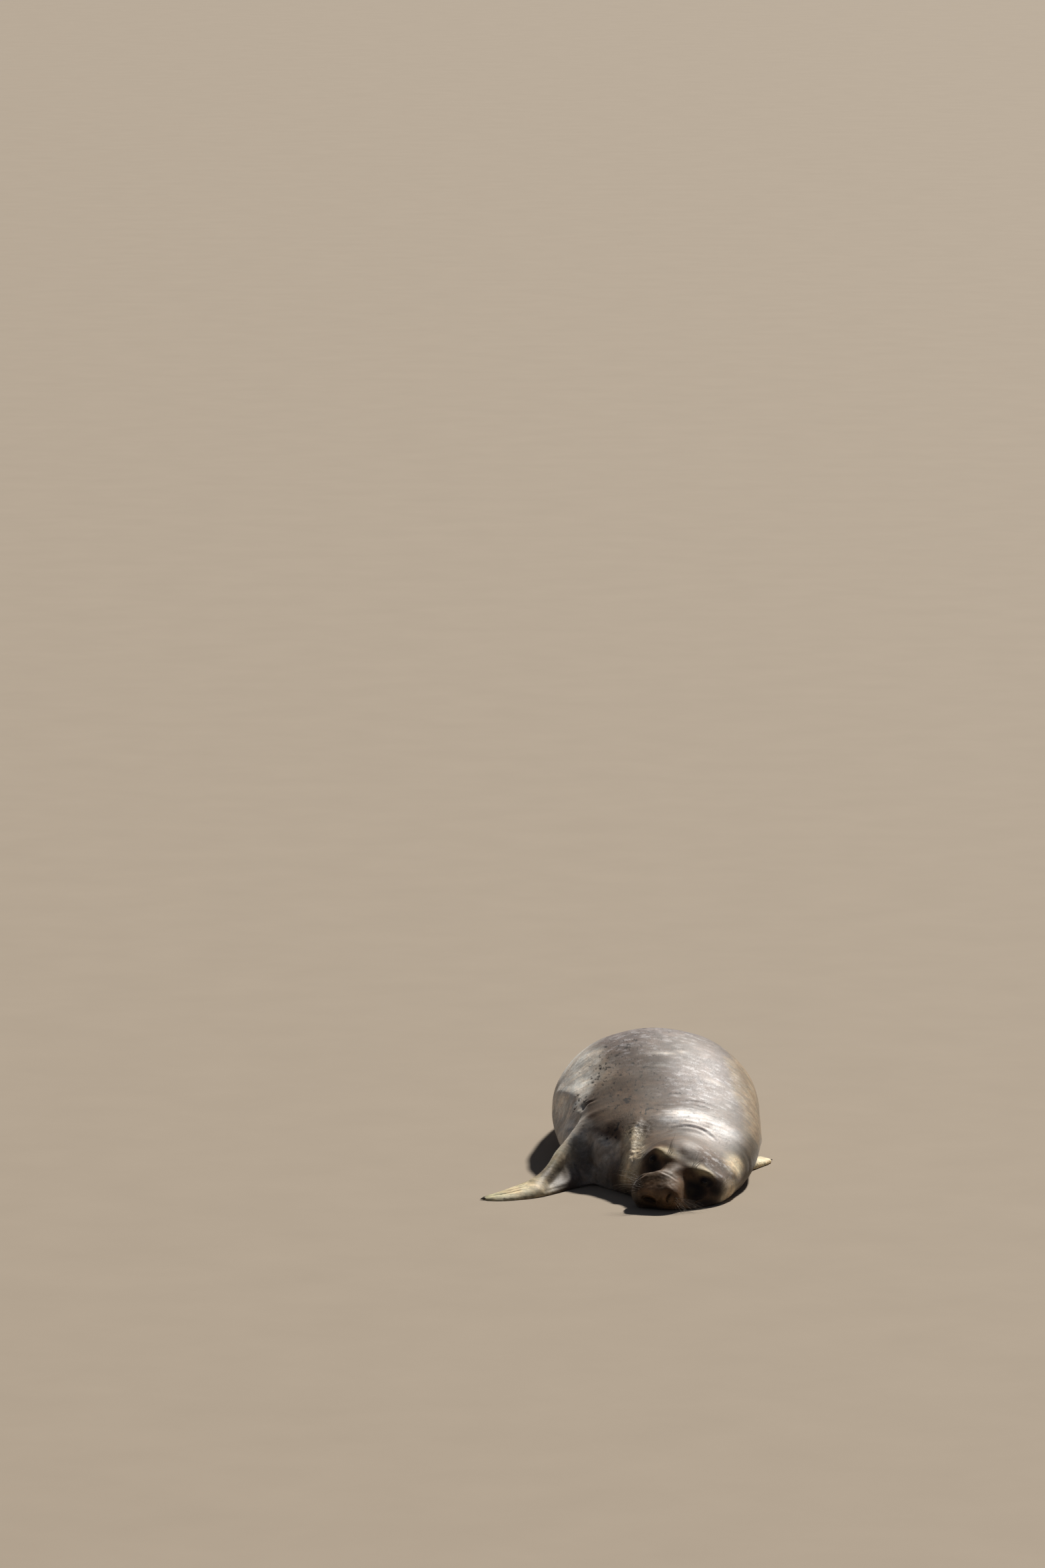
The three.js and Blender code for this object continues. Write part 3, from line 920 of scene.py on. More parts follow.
@dataclass(frozen=True)
class Side:
    """One side of the trunk, below a line that runs along it.

    The line is told as pairs: how far back in millimetres, and the angle in degrees at which it
    stands above the horizontal as seen from the trunk's own axis. It waves: the long wave is told
    by its turns along, its bend and the bend's turns up, and the short one by its height and its
    turns along and up, with turns in radians for each metre.
    """

    left: bool
    line: tuple[Pair, ...]
    softness: float
    strength: float = 1.0
    axis: Pair = (105.0, 150.0)
    wobble: float = 5.0
    long_wave: Triple = (13.0, 3.0, 7.0)
    short_wave: Triple = (0.6, 31.0, 17.0)
    rear: Pair = (-0.4, 0.1)
    front_wobble: float = 0.35
    rear_softening: float = 1.8
    ridge: float = 60.0
    head_edge: Pair = (-0.2, -0.08)

    def cover(self, places: Array, head: Array) -> Array:
        """How much each place belongs to the side, from 0 to 1.

        Args:
            places: The places in the frame's axes.
            head: The same places in the head's axes.

        Returns:
            One share for each place.
        """
        across = (places[:, 0] / MM - self.axis[0]) * (1.0 if self.left else -1.0)
        angle = np.degrees(np.arctan2(places[:, 2] / MM - self.axis[1], across))
        along, steep = np.array(self.line).T
        edge = np.interp(places[:, 1] / MM, along, steep)
        y, z = places[:, 1], places[:, 2]
        along, bend, up = self.long_wave
        waves = np.sin(along * y + bend * np.sin(up * z))
        height, along, up = self.short_wave
        waves += height * np.sin(along * y - up * z)
        behind = smooth_step(y, *self.rear)
        edge += self.wobble * waves * (self.front_wobble + behind)
        soft = self.softness * (1.0 + self.rear_softening * behind)
        below = 1.0 - smooth_step(angle, edge - soft, edge + soft)
        own = smooth_step(across, 0.0, self.ridge) * (1.0 - smooth_step(head[:, 0], *self.head_edge))
        return self.strength * below * own


@dataclass(frozen=True)
class Ripple:
    """Uneven skin over a part of the body: soft lumps of one size, in millimetres."""

    name: str
    size: Triple
    height: float
    patches: tuple[Patch, ...]
    least_cover: float = 0.02

    def press(self, surface: Surface) -> None:
        """Raises and presses the lumps.

        Args:
            surface: The skin, which is changed.
        """
        head = HEAD.into(surface.places)
        cover = np.max([patch.cover(surface.places, head) for patch in self.patches], axis=0)
        near = np.nonzero(cover > self.least_cover)[0]
        spots = surface.places[near] / (np.array(self.size) * MM)
        lumps = np.array([noise.noise(Vector(spot)) for spot in spots])
        amount = np.zeros(len(cover))
        amount[near] = lumps * cover[near] * self.height * MM
        surface.press(amount)


RIPPLES = (
    Ripple("trunk", (150, 150, 150), 5.0, (
        Patch((105, -100, 300), (600, 1300, 300)),
    )),
    Ripple("face", (34, 34, 34), 2.0, (
        head_patch((20, 20, 60), (120, 170, 100)),
    )),
    Ripple("muzzle", (13, 13, 13), 0.6, (
        head_patch((150, 15, 0), (70, 110, 90)),
    )),
    Ripple("crest of the neck", (13, 13, 13), 2.0, (
        Patch((45, -990, 230), (50, 90, 50)),
        Patch((30, -1130, 140), (40, 90, 80)),
    )),
    Ripple("nape", (60, 16, 30), 1.8, (
        Patch((250, -900, 260), (150, 130, 90)),
    )),
    Ripple("armpit", (16, 50, 50), 2.2, (
        Patch((-150, -970, 90), (90, 90, 100)),
    )),
    Ripple("flank behind the arm", (30, 60, 90), 2.2, (
        Patch((-240, -640, 210), (90, 130, 90)),
    )),
)


@dataclass(frozen=True)
class Fan:
    """The digits of one flipper: grooves between them from the wrist out, in millimetres.

    Its rows run from the wrist to the tips, each as one edge's (x, y) and the other's.
    """

    name: str
    rows: tuple[tuple[Pair, Pair], ...]
    digits: int = 5
    depth: float = 1.6
    width: float = 4.5
    swell: float = 0.5
    fade: float = 0.16
    above: float = 70.0

    def mirrored(self, name: str, middle: float = 104.0) -> Fan:
        """The same fan on the other side of a plane that runs along the body."""
        rows = tuple(((2 * middle - a, b), (2 * middle - c, d)) for (a, b), (c, d) in self.rows)
        return replace(self, name=name, rows=rows)

    def creases(self) -> list[Crease]:
        """Lays out the grooves.

        Returns:
            One groove between each two digits.
        """
        made = []
        for number in range(1, self.digits):
            share = number / self.digits
            points = tuple(
                (*(a + (b - a) * share for a, b in zip(front, back)), self.above)
                for front, back in self.rows
            )
            made.append(Crease(
                f"{self.name} {number}", points, self.depth, self.width, self.swell * self.depth,
                fade=self.fade,
            ))
        return made


HIND_FAN = Fan("hind flipper, right", (
    ((82, 1160), (-20, 1150)), ((82, 1267), (-52, 1257)), ((86, 1350), (-90, 1335)),
    ((88, 1420), (-115, 1400)),
), depth=4.0, width=7.0)
FANS = (
    Fan("fore flipper, right", (
        ((-390, -1215), (-396, -1085)), ((-440, -1240), (-430, -1095)), ((-500, -1252), (-470, -1122)),
        ((-540, -1244), (-508, -1152)),
    )),
    Fan("fore flipper, left", (
        ((482, -655), (395, -605)), ((522, -587), (424, -543)), ((553, -520), (465, -485)),
    ), depth=1.4, width=4.0),
    HIND_FAN,
    HIND_FAN.mirrored("hind flipper, left"),
)


@dataclass(frozen=True)
class Tint:
    """A coat colour, as sRGB numbers from 0 to 255, and the patches that it covers."""

    name: str
    colour: tuple[int, int, int]
    patches: tuple[Patch | Side, ...] = ()

    def linear(self) -> Array:
        """The colour in linear light."""
        return (np.array(self.colour) / 255.0) ** 2.2


BACK = Tint("grey-brown back", (90, 77, 66))
# The coat's colours, among them tints of painted shade, painted light and painted sheen.
TINTS = (
    Tint("warm brown shoulder and neck", (100, 82, 65), (
        Patch((30, -900, 240), (190, 240, 160), 0.85),
        Patch((-20, -700, 320), (120, 130, 110), 0.5),
        Patch((210, -1150, 190), (180, 110, 110), 0.6),
    )),
    Tint("grey-buff upper flank", (160, 147, 131), (
        Patch((-130, -480, 360), (75, 210, 60), 0.85),
    )),
    # Grey fur with a painted silver sheen over the upper back and beside the nape.
    Tint("silvery back", (134, 124, 124), (
        Patch((290, -560, 330), (150, 330, 150), 0.9),
        Patch((60, 60, 460), (330, 520, 130), 0.5),
        Patch((330, -960, 210), (120, 90, 90), 0.8),
    )),
    Tint("pale buff flank, right", (228, 222, 211), (
        Side(False, ((-900, 10), (-680, 22), (-516, 40), (-300, 48), (300, 34), (900, 22)), 8.0, 0.92),
    )),
    Tint("tan flank, left", (148, 131, 108), (
        Side(True, ((-1040, -4), (-957, 3), (-893, 8), (-766, 14), (-612, 23), (-492, 31), (-322, 40),
                    (300, 34), (900, 22)), 4.0, 0.92),
    )),
    # Darker bluish grey on the lower side and chest wall: painted shade over the grey-brown coat.
    Tint("grey-brown lower side, right", (104, 98, 97), (
        Patch((-300, -300, 60), (160, 620, 110), 0.65),
        Patch((-180, -900, 60), (160, 200, 130), 0.75),
    )),
    # Painted shade: dark brown on the front of the arm and the web before the wrist, where shade falls.
    Tint("stained front of the arm, right", (64, 55, 45), (
        Patch((-176, -955, 112), (72, 90, 72), 0.6),
        Patch((-258, -1050, 50), (46, 80, 60), 0.6),
    )),
    # Painted shade: darker brown low on the left side and under the left cheek.
    Tint("darker lower side, left", (78, 68, 54), (
        Patch((464, -1000, 96), (125, 230, 110), 0.95, power=2.0),
        Patch((520, -300, 30), (110, 480, 70), 0.7),
    )),
    # Pale fur with a painted sheen highlight on the nape roll.
    Tint("bright nape", (246, 242, 240), (
        Patch((228, -922, 262), (96, 66, 60), 1.0),
        Patch((345, -950, 226), (84, 56, 60), 0.75),
        Patch((300, -1010, 210), (70, 40, 40), 0.35),
    )),
    Tint("pale scars", (238, 232, 224), (
        Patch((136, -444, 419), (46, 13, 42), 0.6, power=1.0),
        Patch((209, -416, 419), (24, 13, 20), 0.5, power=1.0),
        Patch((129, -544, 391), (26, 11, 20), 0.35, power=1.0),
        Patch((340, -596, 331), (46, 14, 40), 0.45, power=1.0),
    )),
    Tint("brown head", (84, 62, 40), (
        head_patch((40, 10, 40), (150, 175, 110), 0.95),
    )),
    Tint("red-brown muzzle", (108, 82, 54), (
        head_patch((150, 15, 10), (90, 110, 80), 0.95),
    )),
    # Painted light: the shaded front of the nose made lighter as if lit.
    Tint("lighter front of the nose", (130, 104, 80), (
        head_patch((194, -16, 4), (26, 64, 22), 0.6),
    )),
    Tint("grey crown", (108, 91, 79), (
        head_patch((-74, 60, 122), (70, 110, 50), 0.7),
        head_patch((-110, 180, 90), (80, 80, 80), 0.6),
    )),
    Tint("olive brows", (170, 154, 116), (
        head_patch((24, -66, 106), (34, 56, 24), 0.75),
        head_patch((20, 106, 100), (34, 60, 20), 0.75),
    )),
    # Pale fur on the cheek bands and the neck's crest, made lighter still as painted light.
    Tint("pale cheek bands and crest", (230, 212, 178), (
        head_patch((-30, -180, 0), (60, 30, 100), 0.95),
        Patch((16, -1040, 200), (40, 66, 54), 0.85),
        Patch((16, -1140, 145), (42, 80, 90), 0.97),
        Patch((404, -1128, 118), (44, 62, 44), 0.85),
        head_patch((-60, 215, 30), (70, 30, 80), 0.8),
    )),
    Tint("olive buff flippers", (222, 206, 166), (
        Patch((-450, -1140, 30), (140, 140, 70), 0.97),
        Patch((-322, -930, 120), (100, 120, 80), 0.6),
        Patch((490, -550, 10), (110, 130, 50), 0.9),
    )),
    Tint("grey-brown hind flippers", (140, 124, 100), (
        Patch((105, 1290, 40), (280, 210, 90), 0.8),
    )),
    Tint("greenish pale hand tip", (218, 212, 168), (
        Patch((-520, -1195, 10), (55, 45, 30), 0.8),
    )),
    # Darker fur round the eyes, with painted shade filling the hollows under the brows, beside the muzzle
    # and under the nose.
    Tint("dark wet fur round the eyes and nose", (22, 17, 13), (
        head_patch((58, -88, 42), (42, 48, 30), 0.97, 3.0),
        head_patch((36, -102, 58), (28, 30, 24), 0.97, 3.0),
        head_patch((70, 112, 34), (52, 52, 44), 0.97, 3.0),
        head_patch((34, 132, 66), (34, 40, 22), 0.97, 3.0),
        head_patch((20, 168, 46), (40, 36, 30), 0.8),
        head_patch((60, 176, -10), (60, 50, 50), 0.8),
        head_patch((202, -14, -48), (26, 42, 18), 0.92),
        head_patch((196, 50, 2), (20, 8, 20), 0.7),
        head_patch((186, -78, -30), (20, 14, 22), 0.6),
        head_patch((150, -70, -70), (90, 50, 26), 0.8),
        head_patch((140, 40, -76), (90, 90, 26), 0.8),
    )),
    Tint("red nicks on the nose", (104, 38, 26), (
        head_patch((160, -76, 28), (7, 5, 5), 0.8),
        head_patch((108, 40, 50), (9, 5, 5), 0.7),
    )),
)


def dark_marks(strength: float, *marks: tuple[tuple[int, int, int], int, int]) -> list[Patch]:
    """Dark marks of one strength, each told by its place and its size across and along the body."""
    return [Patch(place, (wide, long, max(wide, long)), strength) for place, wide, long in marks]


MARKS = (
    *dark_marks(
        2.4,
        ((-168, -676, 274), 19, 14),
    ),
    *dark_marks(
        2.2,
        ((-5, -780, 292), 14, 6), ((39, -977, 235), 13, 12), ((187, -739, 317), 9, 8),
    ),
    *dark_marks(
        2.0,
        ((-141, -522, 341), 12, 14), ((-134, -564, 332), 9, 9), ((-112, -485, 365), 12, 7),
        ((-37, -916, 232), 6, 16), ((-44, -934, 216), 11, 9), ((-78, -502, 372), 11, 8),
    ),
    *dark_marks(
        1.8,
        ((-118, -674, 301), 7, 8), ((15, -1008, 211), 13, 10), ((-85, -577, 347), 13, 6),
        ((294, -775, 290), 5, 5), ((-9, -383, 425), 15, 8), ((70, -814, 290), 10, 6),
        ((-47, -431, 403), 12, 8), ((-99, -424, 388), 10, 9), ((65, -924, 256), 10, 8),
    ),
    *dark_marks(
        1.6,
        ((-29, -589, 360), 10, 8), ((5, -595, 364), 7, 8), ((-175, -581, 302), 7, 6),
        ((-48, -808, 273), 5, 5), ((21, -309, 446), 14, 19), ((47, -358, 439), 11, 10),
    ),
    Patch((250, 60, 455), (12, 16, 14), 1.8),
    Patch((-60, 320, 420), (14, 10, 14), 1.8),
    Patch((420, -40, 350), (9, 14, 12), 1.8),
    Patch((-170, 120, 350), (12, 15, 14), 1.8),
)
# Where pale streaks of painted sheen are mixed into the coat's colour.
SILVER_SHEEN = (
    Patch((290, -620, 335), (150, 260, 130)),
    Patch((262, -905, 262), (130, 90, 80)),
    Patch((60, 0, 460), (330, 520, 130), 0.6),
    head_patch((-80, 110, 110), (70, 110, 60), 0.7),
)
FLECKED = (
    Patch((-10, -600, 350), (170, 330, 130), 0.6),
    Patch((-100, -520, 352), (70, 110, 60), 0.8),
    Patch((-40, -390, 406), (80, 120, 50), 0.85),
    Patch((40, -300, 430), (70, 120, 50), 0.7),
    Patch((-187, -651, 274), (40, 60, 60), 0.95),
    Patch((-14, -764, 294), (50, 60, 50), 0.9),
    Patch((60, -860, 270), (60, 70, 50), 0.8),
    Patch((185, -730, 317), (30, 30, 30), 0.85),
    Patch((-60, -930, 215), (60, 60, 50), 0.6),
    Patch((60, -100, 450), (220, 300, 80), 0.4),
    *MARKS,
)
CRACKED = (
    Patch((36, -1000, 222), (52, 66, 45)),
    Patch((-10, -900, 250), (60, 60, 45), 0.5),
)
PEELING = (
    Patch((34, -1120, 150), (34, 80, 70)),
    Patch((20, -1050, 196), (40, 50, 40), 0.7),
    head_patch((-50, 200, 70), (60, 40, 50), 0.5),
)


@dataclass
class Markings:
    """The markings that skin and coat share, worked out from places on the body, painted shade, light and
    sheen among them.
    """

    pores: list[Array]
    pore_edge: Pair = (0.9, 2.6)
    face_back: float = -0.02

    def paint(self, mesh: Mesh, spots: Array, shade: Array, each: int = 1) -> None:
        """Writes the markings on a mesh as vertex attributes.

        Args:
            mesh: The mesh.
            spots: The places on the skin that the vertices take their markings from.
            shade: How light or dark each place is, about 1.
            each: How many vertices in a row take their markings from the same place.
        """
        head = HEAD.into(spots)
        colour = np.tile(BACK.linear(), (len(spots), 1))
        # The tints include painted shade, painted light and painted sheen as well as the coat's own colours.
        for tint in TINTS:
            colour += (tint.linear() - colour) * self.most(tint.patches, spots, head)[:, None]
        rgba = np.concatenate([colour, np.ones((len(spots), 1))], axis=1).astype(np.float32)
        rgba = rgba.repeat(each, axis=0)
        mesh.attributes.new("tint", "FLOAT_COLOR", "POINT").data.foreach_set("color", rgba.ravel())
        places = spots.astype(np.float32).repeat(each, axis=0).ravel()
        mesh.attributes.new("spot", "FLOAT_VECTOR", "POINT").data.foreach_set("vector", places)
        # The sheen mask tells where painted sheen streaks go; the others are the coat's own marks.
        masks = {"flecked": FLECKED, "cracked": CRACKED, "peeling": PEELING, "silvery": SILVER_SHEEN}
        values = {name: self.most(patches, spots, head) for name, patches in masks.items()}
        values["pores"] = self.pore_cover(spots, head)
        values["shade"] = shade
        for name, value in values.items():
            data = mesh.attributes.new(name, "FLOAT", "POINT").data
            data.foreach_set("value", value.astype(np.float32).repeat(each))

    def pore_cover(self, spots: Array, head: Array) -> Array:
        """How much each place lies in the dark pore of a whisker, from 0 to 1.

        Args:
            spots: The places in the frame's axes.
            head: The places in the head's axes.

        Returns:
            One share for each place.
        """
        cover = np.zeros(len(spots))
        near = np.nonzero(head[:, 0] > self.face_back)[0]
        for root in self.pores:
            gap = np.linalg.norm(spots[near] - root, axis=1) / MM
            cover[near] = np.maximum(cover[near], 1.0 - smooth_step(gap, *self.pore_edge))
        return cover

    def most(self, patches: tuple, spots: Array, head: Array) -> Array:
        """The strongest of several patches at each place, given in the frame's and the head's axes."""
        return np.max([patch.cover(spots, head) for patch in patches], axis=0)


@dataclass(frozen=True)
class Grain:
    """An uneven pattern: its fineness, detail and roughness, and how it is stretched.

    Its span tells which of its values count as none and full. Without one it stays as it is.
    """

    fineness: float
    detail: float
    rough: float = 0.5
    stretch: Triple | None = None
    span: Pair | None = None


@dataclass
class Nodes:
    """A small hand for building a material's nodes."""

    tree: NodeTree

    def add(self, kind: str, inputs: dict | None = None, **settings: object) -> Node:
        """Adds a node.

        Args:
            kind: The node's type name.
            inputs: What each input is set or linked to, by name or number.
            settings: The node's own settings.

        Returns:
            The node.
        """
        node = self.tree.nodes.new(kind)
        for name, value in settings.items():
            setattr(node, name, value)
        for key, value in (inputs or {}).items():
            self.feed(node.inputs[key], value)
        return node

    def dress(self, shader: Node, **inputs: object) -> None:
        """Links or sets a shader's inputs, each named in small letters with _ for a space."""
        for socket in shader.inputs:
            name = socket.name.lower().replace(" ", "_")
            if name in inputs:
                self.feed(socket, inputs[name])

    def feed(self, socket: NodeSocket, value: object) -> None:
        """Links a socket to an output, or sets it to a value."""
        if isinstance(value, NodeSocket):
            self.tree.links.new(value, socket)
        else:
            socket.default_value = value

    def math(self, operation: str, *values: object) -> NodeSocket:
        """The result of an operation, such as ABSOLUTE, on numbers or outputs."""
        return self.add("ShaderNodeMath", dict(enumerate(values)), operation=operation).outputs[0]

    def times(self, first: object, second: object) -> NodeSocket:
        """The product of two numbers or outputs."""
        return self.math("MULTIPLY", first, second)

    def line(self, value: object, gain: object, start: object) -> NodeSocket:
        """A value times a gain, and a start added."""
        return self.math("MULTIPLY_ADD", value, gain, start)

    def attribute(self, name: str, output: str = "Fac") -> NodeSocket:
        """The output of a mesh attribute."""
        return self.add("ShaderNodeAttribute", attribute_name=name).outputs[output]

    def step(self, value: object, low: float, high: float) -> NodeSocket:
        """A value brought from low..high to 0..1, smoothly."""
        inputs = {"Value": value, "From Min": low, "From Max": high}
        return self.add("ShaderNodeMapRange", inputs, interpolation_type="SMOOTHSTEP").outputs[0]

    def grain(self, place: object, grain: Grain) -> NodeSocket:
        """Adds a pattern.

        Args:
            place: Where it is taken.
            grain: The pattern.

        Returns:
            Its value there, from 0 to 1.
        """
        if grain.stretch:
            inputs = {0: place, 1: grain.stretch}
            place = self.add("ShaderNodeVectorMath", inputs, operation="MULTIPLY").outputs[0]
        inputs = {"Vector": place, "Scale": grain.fineness, "Detail": grain.detail}
        value = self.add("ShaderNodeTexNoise", {**inputs, "Roughness": grain.rough}).outputs["Fac"]
        return self.step(value, *grain.span) if grain.span else value

    def mix(self, share: object, low: object, high: object, blend: str = "MIX") -> NodeSocket:
        """A colour between two colours."""
        node = self.add("ShaderNodeMix", data_type="RGBA", blend_type=blend)
        for socket, value in zip((node.inputs[0], node.inputs[6], node.inputs[7]), (share, low, high)):
            self.feed(socket, value)
        return node.outputs[2]

    def object_place(self) -> NodeSocket:
        """The place in the object's own axes."""
        return self.add("ShaderNodeTexCoord").outputs["Object"]

    def bump(self, height: object, strength: float, distance: float) -> NodeSocket:
        """A bump, from how high each place stands and how many metres full height is."""
        inputs = {"Height": height, "Strength": strength, "Distance": distance}
        return self.add("ShaderNodeBump", inputs).outputs[0]


def new_material(name: str) -> tuple[Material, Nodes, Node]:
    """Makes a material with one surface shader.

    Args:
        name: The material's name.

    Returns:
        The material, a hand for its nodes, and its shader.
    """
    material = bpy.data.materials.new(name)
    material.use_nodes = True
    tree = material.node_tree
    tree.nodes.clear()
    hand = Nodes(tree)
    shader = hand.add("ShaderNodeBsdfPrincipled")
    hand.add("ShaderNodeOutputMaterial", {"Surface": shader.outputs[0]})
    return material, hand, shader


class Under(Enum):
    """What a coat finish is on."""

    SKIN = "skin"
    TUFTS = "tufts"


@dataclass(frozen=True)
class CoatFinish:
    """The short flat fur's finish, which skin and tufts share.

    A tone is a pattern, how much light it adds where it is full, and how much there is without it.
    Edges and masks tell which values of a pattern or a marking count as none and full.
    """

    roughness: float = 0.56
    sheen: float = 0.14
    sheen_roughness: float = 0.32
    specular: float = 0.24
    fleck_colour: Colour = (0.020, 0.013, 0.009, 1.0)
    scar_colour: Colour = (0.76, 0.68, 0.55, 1.0)
    painted_sheen_colour: Colour = (0.78, 0.76, 0.78, 1.0)
    warm: Colour = (1.05, 0.985, 0.93, 1.0)
    cool: Colour = (0.965, 1.0, 1.035, 1.0)
    hue: Grain = Grain(19.0, 4.0, 0.7, span=(0.38, 0.62))
    tones: tuple[tuple[Grain, float, float], ...] = (
        (Grain(11.0, 4.0, 0.65, span=(0.3, 0.7)), 0.48, 0.75),
        (Grain(2.0, 3.0, 0.6, (6.0, 30.0, 9.0), (0.3, 0.7)), 0.40, 0.80),
        (Grain(46.0, 4.0, 0.7, span=(0.34, 0.66)), 0.34, 0.83),
        (Grain(1.6, 2.0, 0.6, (190.0, 60.0, 190.0)), 0.5, 0.75),
    )
    # Painted sheen: pale silver streaks where the sheen marking lies.
    sheen_streaks: Grain = Grain(1.5, 5.0, 0.75, (15.0, 34.0, 22.0), (0.5, 0.64))
    sheen_streaks_share: float = 0.85
    pore_share: float = 0.85
    blots: Grain = Grain(2.2, 2.0, 0.5, (30.0, 20.0, 30.0))
    blot_gain: float = 0.14
    blot_edge: Pair = (0.67, 0.74)
    blot_mask: Pair = (0.05, 0.35)
    pinpoint_fineness: float = 38.0
    pinpoint_edge: Pair = (0.10, 0.17)
    pinpoint_mask: Grain = Grain(6.0, 2.0, 0.5, span=(0.52, 0.6))
    pinpoint_share: float = 0.55
    bend: Grain = Grain(40.0, 3.0, 0.6)
    flakes: Grain = Grain(1.0, 3.0, 0.65, (80.0, 60.0, 80.0), (0.52, 0.58))
    peeling_mask: Pair = (0.15, 0.6)
    cracks: Grain = Grain(1.0, 2.0, 0.55, (58.0, 44.0, 58.0))
    crack_edge: Pair = (0.022, 0.042)
    crack_gaps: Grain = Grain(46.0, 1.0, 0.5, span=(0.44, 0.5))
    cracked_mask: Pair = (0.15, 0.5)
    hairs: Grain = Grain(1.0, 2.0, 0.6, (420.0, 90.0, 420.0))
    folds: Grain = Grain(1.0, 3.0, 0.6, (26.0, 120.0, 60.0))
    fold_share: float = 0.7
    bump: float = 0.35
    bump_height: float = 0.0009

    def colour(self, hand: Nodes) -> NodeSocket:
        """Builds the coat's colour from the markings.

        Args:
            hand: A hand for the material's nodes.

        Returns:
            The colour's output.
        """
        spot = hand.attribute("spot", "Vector")
        level = 1.0
        for grain, gain, least in self.tones:
            tone = hand.line(hand.grain(spot, grain), gain, least)
            level = hand.times(level, tone)
        level = hand.times(level, hand.attribute("shade"))
        grey = hand.add("ShaderNodeCombineColor", {0: level, 1: level, 2: level}).outputs[0]
        colour = hand.mix(1.0, hand.attribute("tint", "Color"), grey, "MULTIPLY")
        hue = hand.mix(hand.grain(spot, self.hue), self.warm, self.cool)
        colour = hand.mix(1.0, colour, hue, "MULTIPLY")
        # Painted sheen: streaks mixed towards pale silver.
        sheen_streaks = hand.times(hand.grain(spot, self.sheen_streaks), hand.attribute("silvery"))
        colour = hand.mix(hand.times(sheen_streaks, self.sheen_streaks_share), colour, self.painted_sheen_colour)
        colour = self.worn(hand, self.flecks(hand, colour, spot), spot)
        pores = hand.times(hand.attribute("pores"), self.pore_share)
        return hand.mix(pores, colour, self.fleck_colour)

    def flecks(self, hand: Nodes, colour: object, spot: object) -> NodeSocket:
        """Adds dark flecks and pinpoints where the coat is flecked.

        Args:
            hand: A hand for the material's nodes.
            colour: The colour so far.
            spot: The place on the skin.

        Returns:
            The new colour.
        """
        flecked = hand.attribute("flecked")
        blots = hand.line(flecked, self.blot_gain, hand.grain(spot, self.blots))
        mask = hand.step(flecked, *self.blot_mask)
        blots = hand.times(hand.step(blots, *self.blot_edge), mask)
        cells = {"Vector": spot, "Scale": self.pinpoint_fineness}
        points = hand.add("ShaderNodeTexVoronoi", cells).outputs["Distance"]
        points = hand.math("SUBTRACT", 1.0, hand.step(points, *self.pinpoint_edge))
        points = hand.times(points, hand.grain(spot, self.pinpoint_mask))
        points = hand.times(points, self.pinpoint_share)
        return hand.mix(hand.math("MAXIMUM", blots, points), colour, self.fleck_colour)

    def worn(self, hand: Nodes, colour: object, spot: object) -> NodeSocket:
        """Adds pale peeling flakes and dark cracks where the coat is worn.

        Args:
            hand: A hand for the material's nodes.
            colour: The colour so far.
            spot: The place on the skin.

        Returns:
            The new colour.
        """
        inputs = {0: spot, 1: hand.grain(spot, self.bend)}
        moved = hand.add("ShaderNodeVectorMath", inputs, operation="ADD").outputs[0]
        peeling = hand.step(hand.attribute("peeling"), *self.peeling_mask)
        flakes = hand.times(hand.grain(moved, self.flakes), peeling)
        colour = hand.mix(flakes, colour, self.scar_colour)
        lines = hand.math("ABSOLUTE", hand.math("SUBTRACT", hand.grain(moved, self.cracks), 0.5))
        lines = hand.math("SUBTRACT", 1.0, hand.step(lines, *self.crack_edge))
        lines = hand.times(lines, hand.grain(spot, self.crack_gaps))
        cracked = hand.step(hand.attribute("cracked"), *self.cracked_mask)
        return hand.mix(hand.times(lines, cracked), colour, self.fleck_colour)

    def build(self, under: Under) -> Material:
        """Makes the material.

        Args:
            under: Whether it is for the skin, which has the fur as bump, or for the tufts.

        Returns:
            The material.
        """
        material, hand, shader = new_material(f"short flat fur, {under.value}")
        hand.dress(
            shader, base_color=self.colour(hand), roughness=self.roughness, sheen_weight=self.sheen,
            sheen_roughness=self.sheen_roughness, specular_ior_level=self.specular,
        )
        if under is Under.SKIN:
            spot = hand.attribute("spot", "Vector")
            hairs, folds = hand.grain(spot, self.hairs), hand.grain(spot, self.folds)
            height = hand.line(folds, self.fold_share, hairs)
            hand.dress(shader, normal=hand.bump(height, self.bump, self.bump_height))
        return material


@dataclass(frozen=True)
class HornFinish:
    """Horn of claws and whiskers, dark at the root and paler at the tip, with fine streaks."""

    name: str
    dark: Colour
    pale: Colour
    streaks: Grain = Grain(900.0, 2.0)
    streak_share: float = 0.5
    tip_share: float = 0.75
    root_share: float = -0.2
    edge: Pair = (0.1, 0.9)
    roughness: float = 0.36
    uneven: float = 0.25
    bump: float = 0.3
    bump_height: float = 0.0003

    def build(self) -> Material:
        """Makes the material.

        Returns:
            The material.
        """
        material, hand, shader = new_material(self.name)
        streak = hand.grain(hand.object_place(), self.streaks)
        along = hand.line(hand.attribute("along"), self.tip_share, self.root_share)
        share = hand.line(streak, self.streak_share, along)
        colour = hand.mix(hand.step(share, *self.edge), self.dark, self.pale)
        rough = hand.line(streak, self.uneven, self.roughness)
        bump = hand.bump(streak, self.bump, self.bump_height)
        hand.dress(shader, base_color=colour, roughness=rough, normal=bump)
        return material


